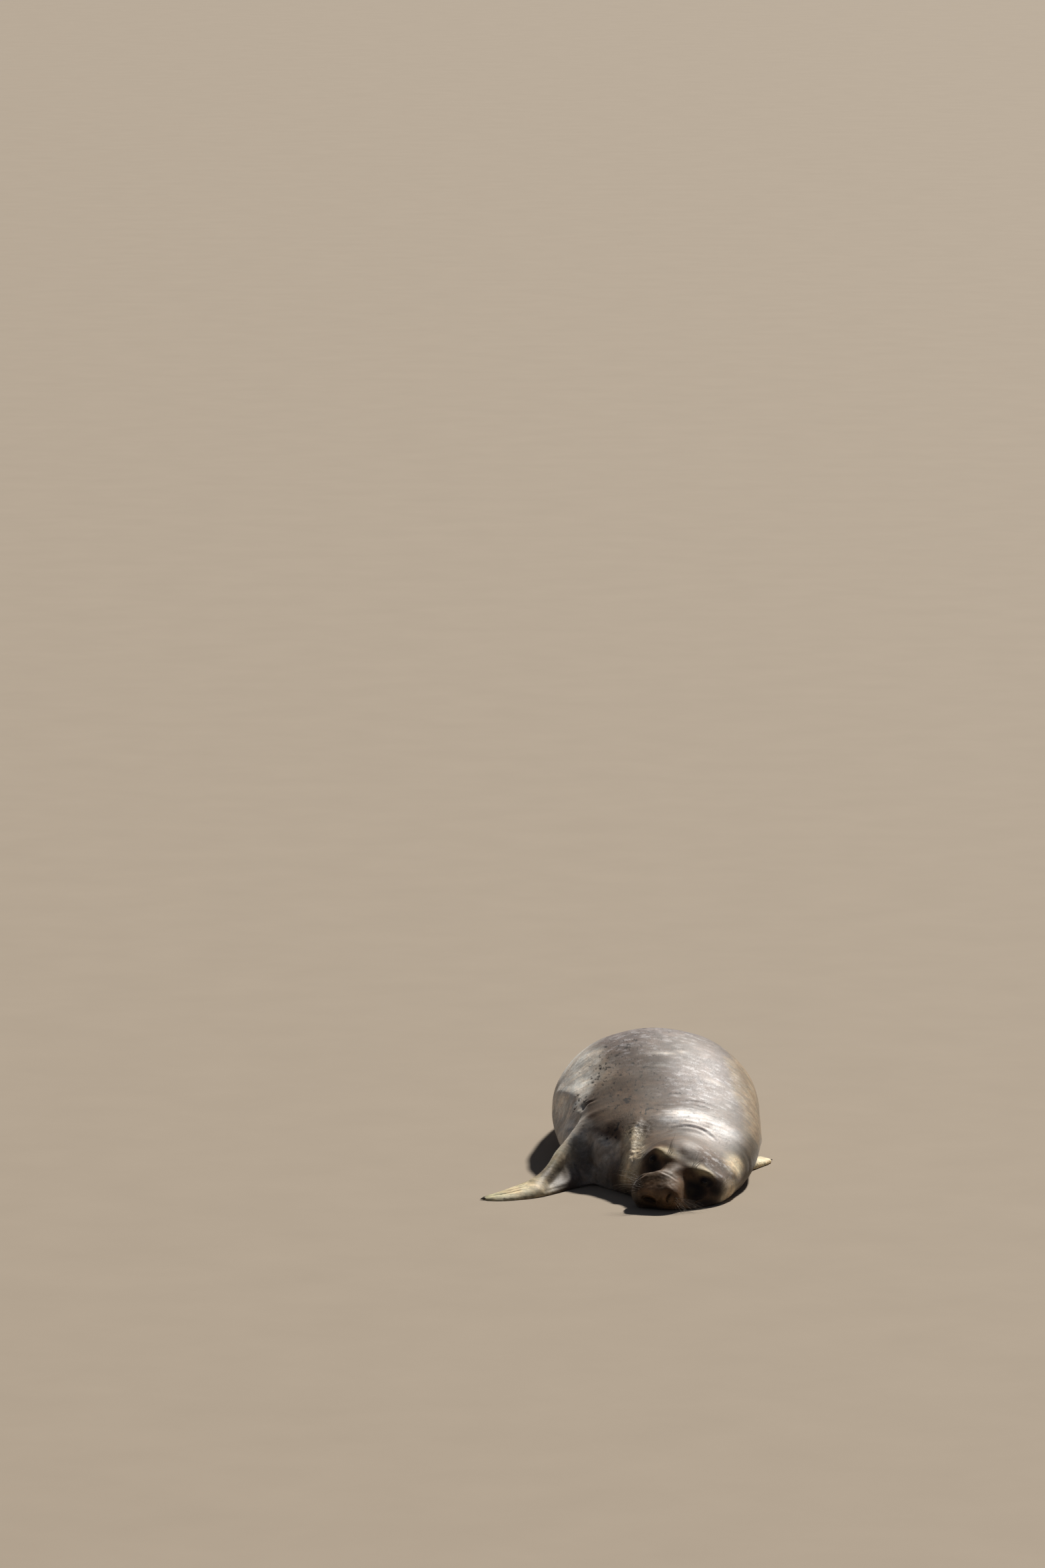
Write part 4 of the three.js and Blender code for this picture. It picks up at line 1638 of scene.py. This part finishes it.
@dataclass(frozen=True)
class EyeFinish:
    """The wet dark eye: brown iris with fine rays, wide black pupil and a dull rim."""

    pupil: float = 0.30
    pupil_softness: float = 0.04
    iris: float = 0.72
    iris_softness: float = 0.08
    rays: Grain = Grain(700.0, 3.0, 0.7)
    ray_edge: Pair = (0.35, 0.65)
    black: Colour = (0.002, 0.002, 0.002, 1.0)
    dark_brown: Colour = (0.018, 0.010, 0.006, 1.0)
    brown: Colour = (0.065, 0.036, 0.018, 1.0)
    dark_rim: Colour = (0.10, 0.065, 0.05, 1.0)
    pale_rim: Colour = (0.19, 0.14, 0.11, 1.0)
    roughness: float = 0.07
    wet: float = 1.0
    wet_roughness: float = 0.03

    def build(self) -> Material:
        """Makes the material.

        Returns:
            The material.
        """
        material, hand, shader = new_material("wet dark eye")
        ring = hand.attribute("along")
        rays = hand.grain(hand.object_place(), self.rays)
        iris = hand.mix(hand.step(rays, *self.ray_edge), self.dark_brown, self.brown)
        past_pupil = hand.step(ring, self.pupil, self.pupil + self.pupil_softness)
        inner = hand.mix(past_pupil, self.black, iris)
        past_iris = hand.step(ring, self.iris, self.iris + self.iris_softness)
        outer = hand.mix(past_iris, inner, hand.mix(rays, self.dark_rim, self.pale_rim))
        hand.dress(
            shader, base_color=outer, roughness=self.roughness, coat_weight=self.wet,
            coat_roughness=self.wet_roughness,
        )
        return material


def new_piece(name: str, places: Array, faces: Array, smooth: bool = True) -> Object:
    """Makes an object from places and faces.

    Args:
        name: The object's name.
        places: One place in each row.
        faces: The corners of each face, all with the same count.
        smooth: Whether the faces are shaded smooth.

    Returns:
        The object, in the scene.
    """
    mesh = bpy.data.meshes.new(name)
    count, corners = faces.shape
    mesh.vertices.add(len(places))
    mesh.vertices.foreach_set("co", places.astype(np.float32).ravel())
    mesh.loops.add(count * corners)
    mesh.loops.foreach_set("vertex_index", faces.astype(np.int32).ravel())
    mesh.polygons.add(count)
    mesh.polygons.foreach_set("loop_start", np.arange(0, count * corners, corners, dtype=np.int32))
    mesh.polygons.foreach_set("use_smooth", np.full(count, smooth))
    mesh.update(calc_edges=True)
    return add_object(name, mesh)


def tube_faces(start: int, rings: int, sides: int) -> list[tuple[int, int, int]]:
    """The faces of a tube, with a fan of faces over each end.

    Args:
        start: The number of its first corner. The middles of the two ends come after the rings.
        rings: How many rings of corners it has.
        sides: How many corners each ring has.

    Returns:
        The corners of each face.
    """
    faces = []
    top = start + (rings - 1) * sides
    first = top + sides
    for i in range(sides):
        j = (i + 1) % sides
        faces.append((first, start + j, start + i))
        faces.append((first + 1, top + i, top + j))
        for a in range(start, top, sides):
            b = a + sides
            faces.append((a + i, a + j, b + j))
            faces.append((a + i, b + j, b + i))
    return faces


def mark_along(mesh: Mesh, values: Array) -> None:
    """Writes how far along its piece each vertex is, from 0 to 1."""
    mesh.attributes.new("along", "FLOAT", "POINT").data.foreach_set("value", values.astype(np.float32))


@dataclass
class Eye:
    """One eyeball behind the lids, with a bulging cornea. Lengths are in millimetres."""

    lids: Lids
    ball: float = 18.4
    cornea: float = 11.5
    cornea_edge: float = 0.55
    bulge: float = 1.3
    front: float = 1.5
    rings: int = 28
    sides: int = 48

    def build(self, skin: Surface, material: Material) -> Object:
        """Makes the eyeball.

        Args:
            skin: The skin round it.
            material: Its finish.

        Returns:
            The eye.
        """
        middle, out, back, up = self.lids.frame_of(skin)
        angle = np.linspace(0.0, math.pi, self.rings + 1)[1:-1]
        flat = np.sin(angle) * self.ball
        in_front = angle < self.front
        on_cornea = 1.0 - smooth_step(flat, self.cornea_edge * self.cornea, self.cornea)
        turn = np.linspace(0.0, 2 * math.pi, self.sides, endpoint=False)
        radius = self.ball + self.bulge * on_cornea * in_front
        ring = (
            (radius * np.cos(angle))[:, None, None] * out
            + (radius * np.sin(angle))[:, None, None]
            * (np.cos(turn)[None, :, None] * back + np.sin(turn)[None, :, None] * up)
        )
        poles = np.array([out * (self.ball + self.bulge), -out * self.ball])
        places = np.concatenate([ring.reshape(-1, 3), poles]) * MM + middle
        faces = np.array(tube_faces(0, self.rings - 1, self.sides))[:, ::-1]
        eye = new_piece(f"eyeball_{self.lids.name}", places, faces)
        along = np.where(in_front, np.clip(flat / self.cornea, 0.0, 1.0), 1.0)
        mark_along(eye.data, np.concatenate([np.repeat(along, self.sides), [0.0, 1.0]]))
        eye.data.materials.append(material)
        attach(eye, "root")
        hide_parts(f"eye_{self.lids.name}")
        return eye


@dataclass
class Claws:
    """The ten fore claws, rounded from their solids, with their tips paler."""

    nodes: dict
    count: int = 5
    rounding: int = 2
    same_place: float = 1e-6

    def build(self, material: Material) -> list[Object]:
        """Makes the claws.

        Args:
            material: Their finish.

        Returns:
            The claws.
        """
        return [
            self.claw(f"{side}_{number}", material)
            for side in SIDES
            for number in range(1, self.count + 1)
        ]

    def claw(self, name: str, material: Material) -> Object:
        """Makes one claw.

        Args:
            name: Its side and number.
            material: Its finish.

        Returns:
            The claw.
        """
        claw = add_object(f"fine_claw_{name}", self.nodes[f"claw_{name}"].data.copy())
        work = bmesh.new()
        work.from_mesh(claw.data)
        bmesh.ops.remove_doubles(work, verts=work.verts, dist=self.same_place)
        work.to_mesh(claw.data)
        work.free()
        rounding = claw.modifiers.new("rounding", "SUBSURF")
        rounding.levels = rounding.render_levels = self.rounding
        rounding.boundary_smooth = "ALL"
        seen = claw.evaluated_get(bpy.context.evaluated_depsgraph_get())
        fine = bpy.data.meshes.new_from_object(seen)
        claw.modifiers.clear()
        claw.data = fine
        places = Surface(fine).places
        axis = int(np.argmax(np.ptp(places, axis=0)[:2]))
        along = places[:, axis] * (-1.0 if name.startswith("right") else 1.0)
        mark_along(fine, (along - along.min()) / np.ptp(along))
        fine.polygons.foreach_set("use_smooth", np.ones(len(fine.polygons), bool))
        fine.materials.clear()
        fine.materials.append(material)
        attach(claw, "root")
        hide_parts(f"claw_{name}")
        return claw


@dataclass(frozen=True)
class Bristle:
    """One whisker: where it grows, where it points, and how long and bent it is."""

    root: Array
    direction: Array
    length: float
    droop: float
    thick: float


@dataclass
class Whiskers:
    """The whiskers of the muzzle and brows, each set a joined mesh of tapered tubes.

    Lengths are in millimetres, but for the lowest height and the depth of the roots in metres. A
    pad is told by its side and its middle, and a brow by its side and its place. Ways out of the
    skin are shares of its normal and of the head's axes.
    """

    tree: BVHTree
    seed: int = 11
    sides: int = 5
    steps: int = 9
    ground: float = 0.003
    root_depth: float = 0.002
    tip_share: float = 0.2
    rows: int = 5
    columns: int = 6
    pads: tuple[Pair, ...] = ((-1.0, 0.0), (1.0, 18.0))
    pad_front: float = 196.0
    pad_reach: float = 60.0
    pad_top: float = 12.0
    column_gap: Pair = (11.0, 6.0)
    row_gap: float = 10.5
    pad_scatter: float = 1.5
    muzzle_length: float = 34.0
    muzzle_growth: Pair = (13.0, 5.0)
    muzzle_thick: float = 0.34
    muzzle_noise: float = 0.07
    brow_places: tuple[tuple[float, Triple], ...] = (
        (-1.0, (21.0, -46.0, 109.0)),
        (1.0, (25.0, 63.0, 104.0)),
    )
    brow_count: int = 3
    brow_gap: Pair = (6.0, 7.5)
    brow_length: Pair = (48.0, 84.0)
    brow_thick: float = 0.40
    brow_noise: float = 0.16

    def find(self, place: Array) -> tuple[Array, Array]:
        """The place on the skin nearest to one in the head's axes, and the way out of it there."""
        near, normal, _, _ = self.tree.find_nearest(Vector(HEAD.out(np.array(place) * MM)))
        return np.array(near), np.array(normal)

    def muzzle(self) -> list[Bristle]:
        """Lays out the long whiskers of both pads, in rows that fan back and out.

        Returns:
            The whiskers.
        """
        rng = np.random.default_rng(self.seed)
        ahead, left, up = HEAD.basis()
        bristles = []
        for side, centre in self.pads:
            for row in range(self.rows):
                for column in range(self.columns - row // 3):
                    back, out = self.column_gap[0] * column, self.column_gap[1] * column
                    place = (
                        self.pad_front - back + rng.uniform(-self.pad_scatter, self.pad_scatter),
                        centre + side * (self.pad_reach + out),
                        self.pad_top - self.row_gap * row + rng.uniform(-self.pad_scatter, self.pad_scatter),
                    )
                    root, normal = self.find(place)
                    fan = 0.15 - 0.45 * column / self.columns
                    direction = 0.5 * normal + side * left * 0.9
                    direction = direction + ahead * (0.35 + fan) + up * (0.28 - 0.12 * row)
                    direction = unit(direction + rng.normal(0.0, self.muzzle_noise, 3))
                    growth = self.muzzle_growth[0] * column + self.muzzle_growth[1] * row
                    length = self.muzzle_length + growth + rng.uniform(-10.0, 14.0)
                    droop = rng.uniform(0.15, 0.4)
                    bristles.append(Bristle(root, direction, length, droop, self.muzzle_thick))
        return bristles

    def brows(self) -> list[Bristle]:
        """Lays out the stiff dark whiskers over both eyes.

        Returns:
            The whiskers.
        """
        rng = np.random.default_rng(self.seed + 1)
        ahead, left, up = HEAD.basis()
        bristles = []
        for side, middle in self.brow_places:
            for row in range(self.brow_count):
                for column in range(self.brow_count):
                    offset = np.array([self.brow_gap[0] * (row - 1), self.brow_gap[1] * (column - 1), 0.0])
                    root, normal = self.find(np.array(middle) + offset + rng.uniform(-1.0, 1.0, 3))
                    direction = normal * 0.9 + up * 0.55 - ahead * 0.25
                    direction = direction + side * left * (0.02 + 0.30 * column)
                    direction = unit(direction + rng.normal(0.0, self.brow_noise, 3))
                    length = rng.uniform(*self.brow_length)
                    droop = rng.uniform(-0.2, 0.35)
                    bristles.append(Bristle(root, direction, length, droop, self.brow_thick))
        return bristles

    def build(self, name: str, bristles: list[Bristle], material: Material) -> Object:
        """Makes one set of whiskers.

        Args:
            name: The set's name.
            bristles: Its whiskers.
            material: Their finish.

        Returns:
            The set.
        """
        places, faces, along = [], [], []
        turn = np.linspace(0.0, 2 * math.pi, self.sides, endpoint=False)
        for bristle in bristles:
            start = len(places)
            side = unit(np.cross(bristle.direction, [0.0, 0.0, 1.0]))
            over = np.cross(side, bristle.direction)
            for step in range(self.steps):
                share = step / (self.steps - 1)
                bend = bristle.droop * share**2
                line = bristle.direction * (share - 0.3 * bend * share)
                sunk = np.array([0.0, 0.0, bend * bristle.length])
                centre = bristle.root + (line * bristle.length - sunk) * MM
                centre -= bristle.direction * (self.root_depth if step == 0 else 0.0)
                centre[2] = max(centre[2], self.ground)
                radius = bristle.thick * MM * (1.0 - (1.0 - self.tip_share) * share)
                for a in turn:
                    places.append(centre + (side * math.cos(a) + over * math.sin(a)) * radius)
                    along.append(share)
            places.append(np.array(places[start : start + self.sides]).mean(axis=0))
            places.append(np.array(places[-1 - self.sides : -1]).mean(axis=0))
            along += [0.0, 1.0]
            faces += tube_faces(start, self.steps, self.sides)
        piece = new_piece(name, np.array(places), np.array(faces))
        mark_along(piece.data, np.array(along))
        piece.data.materials.append(material)
        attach(piece, "root")
        return piece


@dataclass(frozen=True)
class Wrap:
    """The unwrap of one part of the skin: round an axis and along it."""

    start: Triple
    end: Triple
    column: int = 0
    columns: int = 1
    margin: float = 0.01

    def unwrap(self, spots: Array) -> Array:
        """Where places on the skin lie on the unwrap, from 0 to 1 both ways.

        Args:
            spots: The places, in metres.

        Returns:
            Across and up for each place.
        """
        start, end = np.array(self.start) * MM, np.array(self.end) * MM
        axis = unit(end - start)
        side = unit(np.cross(axis, [0.0, 0.0, 1.0]))
        over = np.cross(side, axis)
        offset = spots - start
        turn = np.arctan2(offset @ side, offset @ over) / (2 * math.pi) + 0.5
        along = (offset @ axis) / np.linalg.norm(end - start)
        flat = np.stack([turn, np.clip(along, 0.0, 1.0)], axis=1)
        flat = self.margin + flat * (1.0 - 2 * self.margin)
        flat[:, 0] = (flat[:, 0] + self.column) / self.columns
        return flat


@dataclass(frozen=True)
class Region:
    """One piece of the coat: the part of the body it covers and its unwraps."""

    name: str
    slot: str
    wraps: tuple[Wrap, ...]


class Zone(Enum):
    """The pieces of the coat, from nose to tail."""

    FACE = Region("coat_face", "face_coat", (Wrap((100, -1180, 60), (230, -1480, 60)),))
    HEAD = Region("coat_head", "face_coat", (Wrap((160, -1100, 90), (160, -1420, 60)),))
    NECK = Region("coat_neck", "back_coat", (Wrap((120, -1200, 60), (120, -780, 60)),))
    CHEST = Region("coat_chest", "back_coat", (Wrap((110, -870, 120), (110, -360, 120)),))
    BELLY_RIGHT = Region("coat_belly_right", "back_coat", (Wrap((107, -400, 150), (107, 260, 150)),))
    BELLY_LEFT = Region("coat_belly_left", "back_coat", (Wrap((107, -400, 150), (107, 260, 150)),))
    HIPS_RIGHT = Region("coat_hips_right", "back_coat", (Wrap((105, 200, 90), (105, 1300, 50)),))
    HIPS_LEFT = Region("coat_hips_left", "back_coat", (Wrap((105, 200, 90), (105, 1300, 50)),))
    FORE_FLIPPERS = Region("coat_fore_flippers", "flipper_coat", tuple(
        Wrap(limb.root, limb.tip, i, 3) for i, limb in enumerate(LIMBS[:3])
    ))
    HIND_FLIPPERS = Region("coat_hind_flippers", "flipper_coat", tuple(
        Wrap(limb.root, limb.tip, i, 2) for i, limb in enumerate(LIMBS[3:])
    ))


@dataclass
class Coat:
    """The short flat fur as thin closed tufts that lie back over the skin, on every side.

    The tufts' lengths are in millimetres. Borders along the row's and the head's first axis and
    heights are in metres. A tuft's slimness, lift and the like are shares of its own length, and
    its patch is its size on the unwrap.
    """

    skin: Surface
    tree: BVHTree
    markings: Markings
    total: int = 300_000
    seed: int = 5
    trunk_length: float = 11.5
    front_length: float = 9.0
    head_length: float = 6.5
    face_length: float = 4.6
    flipper_length: float = 6.0
    front_edge: Pair = (-0.75, -0.2)
    head_edge: Pair = (-0.22, -0.08)
    face_edge: Pair = (-0.02, 0.09)
    crowding: float = 1.35
    uneven_length: Pair = (0.7, 1.25)
    slimness: float = 0.19
    uneven_width: Pair = (0.8, 1.2)
    lift: float = 0.055
    worn_lift: float = 0.16
    uneven_lift: Pair = (0.5, 1.4)
    stray: float = 0.13
    worn_stray: float = 0.2
    sink: float = 0.25
    widest: Pair = (0.42, 0.38)
    keel: float = 0.1
    tip_rise: float = 0.8
    bottom: float = 0.0008
    uneven_shade: float = 0.1
    shade_limits: Pair = (0.7, 1.3)
    patch: float = 0.003
    patch_corners: tuple[Pair, ...] = ((0.0, -0.5), (-0.5, -0.1), (0.5, -0.1), (0.0, 0.5))
    ground: float = 0.002
    underside: float = 0.012
    trunk_borders: Triple = (-0.83, -0.39, 0.22)
    face_back: float = 0.06
    head_back: float = -0.11
    middle: float = 0.105

    def lengths(self, places: Array, head: Array, limb: Array) -> Array:
        """How long the fur is at each place.

        Args:
            places: The places in the frame's axes.
            head: The same places in the head's axes.
            limb: How much each belongs to a limb.

        Returns:
            The lengths.
        """
        front = 1.0 - smooth_step(places[:, 1], *self.front_edge)
        length = self.trunk_length + (self.front_length - self.trunk_length) * front
        length += (self.head_length - length) * smooth_step(head[:, 0], *self.head_edge)
        length += (self.face_length - length) * smooth_step(head[:, 0], *self.face_edge)
        return length + (self.flipper_length - length) * limb

    def lie(self, places: Array, head: Array) -> Array:
        """Which way the fur lies: back along the body and out along the limbs.

        Args:
            places: The places in the frame's axes.
            head: The same places in the head's axes.

        Returns:
            One direction for each place.
        """
        back = np.array([0.0, 1.0, 0.0])
        on_head = smooth_step(head[:, 0], -0.3, 0.0)[:, None]
        way = back * (1.0 - on_head) - HEAD.basis()[0] * on_head
        down = smooth_step(np.abs(places[:, 0] - self.middle), 0.2, 0.45)[:, None] * (1.0 - on_head)
        way = way - 0.35 * down * np.array([0.0, 0.0, 1.0])
        for limb in LIMBS:
            share = limb.closeness(places)[:, None]
            way = way * (1.0 - share) + limb.direction() * share
        return way

    def roots(self, rng: np.random.Generator) -> tuple[Array, Array]:
        """Scatters the tufts' roots over the skin, closer where the fur is shorter.

        Args:
            rng: The source of chance.

        Returns:
            The roots and the directions out of the skin there.
        """
        mesh = self.skin.mesh
        mesh.calc_loop_triangles()
        corners = read_all(mesh.loop_triangles, "vertices", 3, np.int32)
        places = self.skin.places
        a, b, c = (places[corners[:, i]] for i in range(3))
        cross = np.cross(b - a, c - a)
        area = np.linalg.norm(cross, axis=1) / 2
        middle = (a + b + c) / 3
        head = HEAD.into(middle)
        weight = area / self.lengths(middle, head, on_limbs(middle)) ** self.crowding
        below = (unit(cross)[:, 2] < -0.6) & (middle[:, 2] < self.underside)
        weight[below | (middle[:, 2] < self.ground)] = 0.0
        for lids in LIDS:
            inside = np.linalg.norm(middle - HEAD.out(np.array(lids.middle) * MM), axis=1) / MM
            weight[inside < lids.dome + 1.0] = 0.0
        for nostril in NOSTRILS:
            weight[nostril.holds(head / MM)] = 0.0
        chosen = rng.choice(len(area), self.total, p=weight / weight.sum())
        first, second = rng.random((2, self.total, 1))
        flip = first + second > 1.0
        first, second = np.where(flip, 1.0 - first, first), np.where(flip, 1.0 - second, second)
        roots = a[chosen] + (b - a)[chosen] * first + (c - a)[chosen] * second
        normals = self.skin.normals()
        na, nb, nc = (normals[corners[chosen, i]] for i in range(3))
        return roots, unit(na * (1.0 - first - second) + nb * first + nc * second)

    def zones(self, roots: Array, head: Array, limb: Array) -> dict[Zone, Array]:
        """Which tufts each piece of the coat has.

        Args:
            roots: The roots in the frame's axes.
            head: The roots in the head's axes.
            limb: How much each belongs to a limb.

        Returns:
            The numbers of the tufts in each zone.
        """
        ahead, right = head[:, 0], roots[:, 0] < self.middle
        behind = roots[:, 1] > 0.0
        on_limb = limb > 0.5
        face = ~on_limb & (ahead > self.face_back)
        whole_head = ~on_limb & (ahead > self.head_back)
        rest = ~whole_head & ~on_limb
        which = np.searchsorted(self.trunk_borders, roots[:, 1])
        masks = {
            Zone.FACE: face,
            Zone.HEAD: whole_head & ~face,
            Zone.NECK: rest & (which == 0),
            Zone.CHEST: rest & (which == 1),
            Zone.BELLY_RIGHT: rest & (which == 2) & right,
            Zone.BELLY_LEFT: rest & (which == 2) & ~right,
            Zone.HIPS_RIGHT: rest & (which == 3) & right,
            Zone.HIPS_LEFT: rest & (which == 3) & ~right,
            Zone.FORE_FLIPPERS: on_limb & ~behind,
            Zone.HIND_FLIPPERS: on_limb & behind,
        }
        return {zone: np.nonzero(mask)[0] for zone, mask in masks.items()}

    def build(self, material: Material) -> list[Object]:
        """Makes the coat.

        Args:
            material: Its finish.

        Returns:
            Its pieces.
        """
        rng = np.random.default_rng(self.seed)
        roots, normals = self.roots(rng)
        head = HEAD.into(roots)
        limb = on_limbs(roots)
        length = self.lengths(roots, head, limb) * rng.uniform(*self.uneven_length, self.total)
        worn = self.markings.most(CRACKED + PEELING, roots, head)
        way = unit(self.lie(roots, head))
        stray = self.stray + self.worn_stray * worn
        way += rng.normal(0.0, 1.0, (self.total, 3)) * stray[:, None]
        way = unit(way - normals * (way * normals).sum(axis=1, keepdims=True))
        side = np.cross(normals, way)
        lift = self.lift + (self.worn_lift - self.lift) * worn
        lift *= rng.uniform(*self.uneven_lift, self.total)
        width = self.slimness * length * rng.uniform(*self.uneven_width, self.total)
        root = roots - normals * (self.sink * MM)
        ends = roots + way * (length * MM)[:, None]
        chord = np.array([self.tree.find_nearest(Vector(end))[0] for end in ends]) - root
        rise = normals * (lift * length * MM)[:, None]
        middle = root + self.widest[0] * chord + self.widest[1] * rise
        spread = side * (0.5 * width * MM)[:, None]
        drop = normals * (self.keel * width * MM)[:, None]
        tip = root + chord + self.tip_rise * rise
        corners = np.stack([root, middle - spread - drop, middle + spread - drop, tip], axis=1)
        corners[:, :, 2] = np.maximum(corners[:, :, 2], self.bottom)
        shade = rng.normal(1.0, self.uneven_shade, self.total).clip(*self.shade_limits)
        return [
            self.piece(zone.value, corners[chosen], roots[chosen], shade[chosen], material)
            for zone, chosen in self.zones(roots, head, limb).items()
        ]

    def piece(
        self,
        region: Region,
        corners: Array,
        roots: Array,
        shade: Array,
        material: Material,
    ) -> Object:
        """Makes one piece of the coat.

        Args:
            region: Its name, slot and unwraps.
            corners: The four corners of each tuft: root, two sides and tip.
            roots: Each tuft's place on the skin.
            shade: How light each tuft is.
            material: Its finish.

        Returns:
            The piece.
        """
        count = len(corners)
        tuft = np.array([(0, 1, 3), (0, 3, 2), (0, 2, 1), (1, 2, 3)])
        faces = (np.arange(count)[:, None, None] * 4 + tuft[None]).reshape(-1, 3)
        piece = new_piece(region.name, corners.reshape(-1, 3), faces, smooth=False)
        self.markings.paint(piece.data, roots, shade, each=corners.shape[1])
        flat = self.unwrap(region, roots)
        local = np.array(self.patch_corners) * self.patch
        spread = (flat[:, None] + local[None]).reshape(-1, 2)
        layer = piece.data.uv_layers.new(name="OFBake")
        layer.uv.foreach_set("vector", spread[faces.ravel()].astype(np.float32).ravel())
        piece.data.materials.append(material)
        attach(piece, "root")
        log.info("%s has %d tufts", region.name, count)
        return piece

    def unwrap(self, region: Region, roots: Array) -> Array:
        """Where each tuft's patch lies on the unwrap of its part of the skin.

        Args:
            region: The piece of the coat.
            roots: The tufts' places on the skin.

        Returns:
            Across and up for each tuft.
        """
        if len(region.wraps) == 1:
            return region.wraps[0].unwrap(roots)
        limbs = [limb for limb in LIMBS if limb.root in [wrap.start for wrap in region.wraps]]
        nearest = np.argmax([limb.closeness(roots) for limb in limbs], axis=0)
        flats = np.stack([wrap.unwrap(roots) for wrap in region.wraps])
        return flats[nearest, np.arange(len(roots))]


@dataclass(frozen=True)
class Studio:
    """A plain pale floor and soft light: a broad key from behind on the right, and an even fill."""

    key_from: Triple = (0.30, 0.665, 0.684)
    key_strength: float = 5.8
    key_softness: float = math.radians(4.0)
    key_colour: Triple = (1.0, 0.955, 0.88)
    fill_colour: Colour = (0.07, 0.08, 0.104, 1.0)
    horizon_colour: Colour = (0.145, 0.138, 0.134, 1.0)
    horizon_rise: Pair = (0.05, 0.22)
    floor_half: float = 400.0
    floor_roughness: float = 0.9
    floor_grain: Grain = Grain(2.5, 4.0, 0.6)
    floor_pale: Colour = (0.30, 0.245, 0.185, 1.0)
    floor_dark: Colour = (0.265, 0.215, 0.16, 1.0)

    def build(self) -> None:
        """Makes the floor and the light."""
        corners = np.array([(-1, -1, 0), (1, -1, 0), (1, 1, 0), (-1, 1, 0)], float) * self.floor_half
        floor = new_piece("floor", corners, np.array([(0, 1, 2, 3)]))
        material, hand, shader = new_material("pale floor")
        share = hand.grain(hand.object_place(), self.floor_grain)
        colour = hand.mix(share, self.floor_dark, self.floor_pale)
        hand.dress(shader, base_color=colour, roughness=self.floor_roughness)
        floor.data.materials.append(material)
        data = bpy.data.lights.new("key", "SUN")
        data.energy = self.key_strength
        data.angle = self.key_softness
        data.color = self.key_colour
        key = add_object("key", data)
        key.rotation_euler = Vector(self.key_from).to_track_quat("Z", "Y").to_euler()
        world = bpy.data.worlds.new("studio")
        world.use_nodes = True
        world.node_tree.nodes.clear()
        hand = Nodes(world.node_tree)
        way = hand.add("ShaderNodeTexCoord").outputs["Generated"]
        height = hand.add("ShaderNodeSeparateXYZ", {0: way}).outputs[2]
        light = hand.mix(hand.step(height, *self.horizon_rise), self.horizon_colour, self.fill_colour)
        background = hand.add("ShaderNodeBackground", {"Color": light})
        hand.add("ShaderNodeOutputWorld", {"Surface": background.outputs[0]})
        bpy.context.scene.world = world
        bpy.context.scene.view_settings.view_transform = "Standard"


def main() -> None:
    """Builds the animal, its eyes, claws, coat and whiskers, and the floor and light round it."""
    logging.basicConfig(level=logging.INFO, format="%(message)s")
    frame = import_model()
    nodes = frame["nodes"]
    PICTURE.make_camera()
    Studio().build()

    body = Skin(nodes)
    skin = body.build()
    surface = body.surface
    tree = mesh_tree(surface.mesh)
    whiskers = Whiskers(tree)
    muzzle, brows = whiskers.muzzle(), whiskers.brows()
    markings = Markings([bristle.root for bristle in muzzle + brows])
    markings.paint(skin.data, surface.places, np.ones(len(surface.places)))
    finish = CoatFinish()
    skin.data.materials.append(finish.build(Under.SKIN))
    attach(skin, "root")
    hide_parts(*FLESH)
    log.info("skin has %d places", len(surface.places))

    wet = EyeFinish().build()
    for lids in LIDS:
        Eye(lids).build(surface, wet)
    claw_horn = HornFinish("dark horn of the claws", (0.028, 0.021, 0.017, 1.0), (0.20, 0.16, 0.12, 1.0))
    log.info("%d claws", len(Claws(nodes).build(claw_horn.build())))
    pale_horn = HornFinish("brown whiskers", (0.10, 0.08, 0.06, 1.0), (0.36, 0.30, 0.22, 1.0))
    dark_horn = HornFinish("dark whiskers", (0.022, 0.017, 0.014, 1.0), (0.11, 0.085, 0.065, 1.0))
    whiskers.build("whiskers_muzzle", muzzle, pale_horn.build())
    whiskers.build("whiskers_brows", brows, dark_horn.build())
    Coat(surface, tree, markings).build(finish.build(Under.TUFTS))


if __name__ == "__main__":
    main()
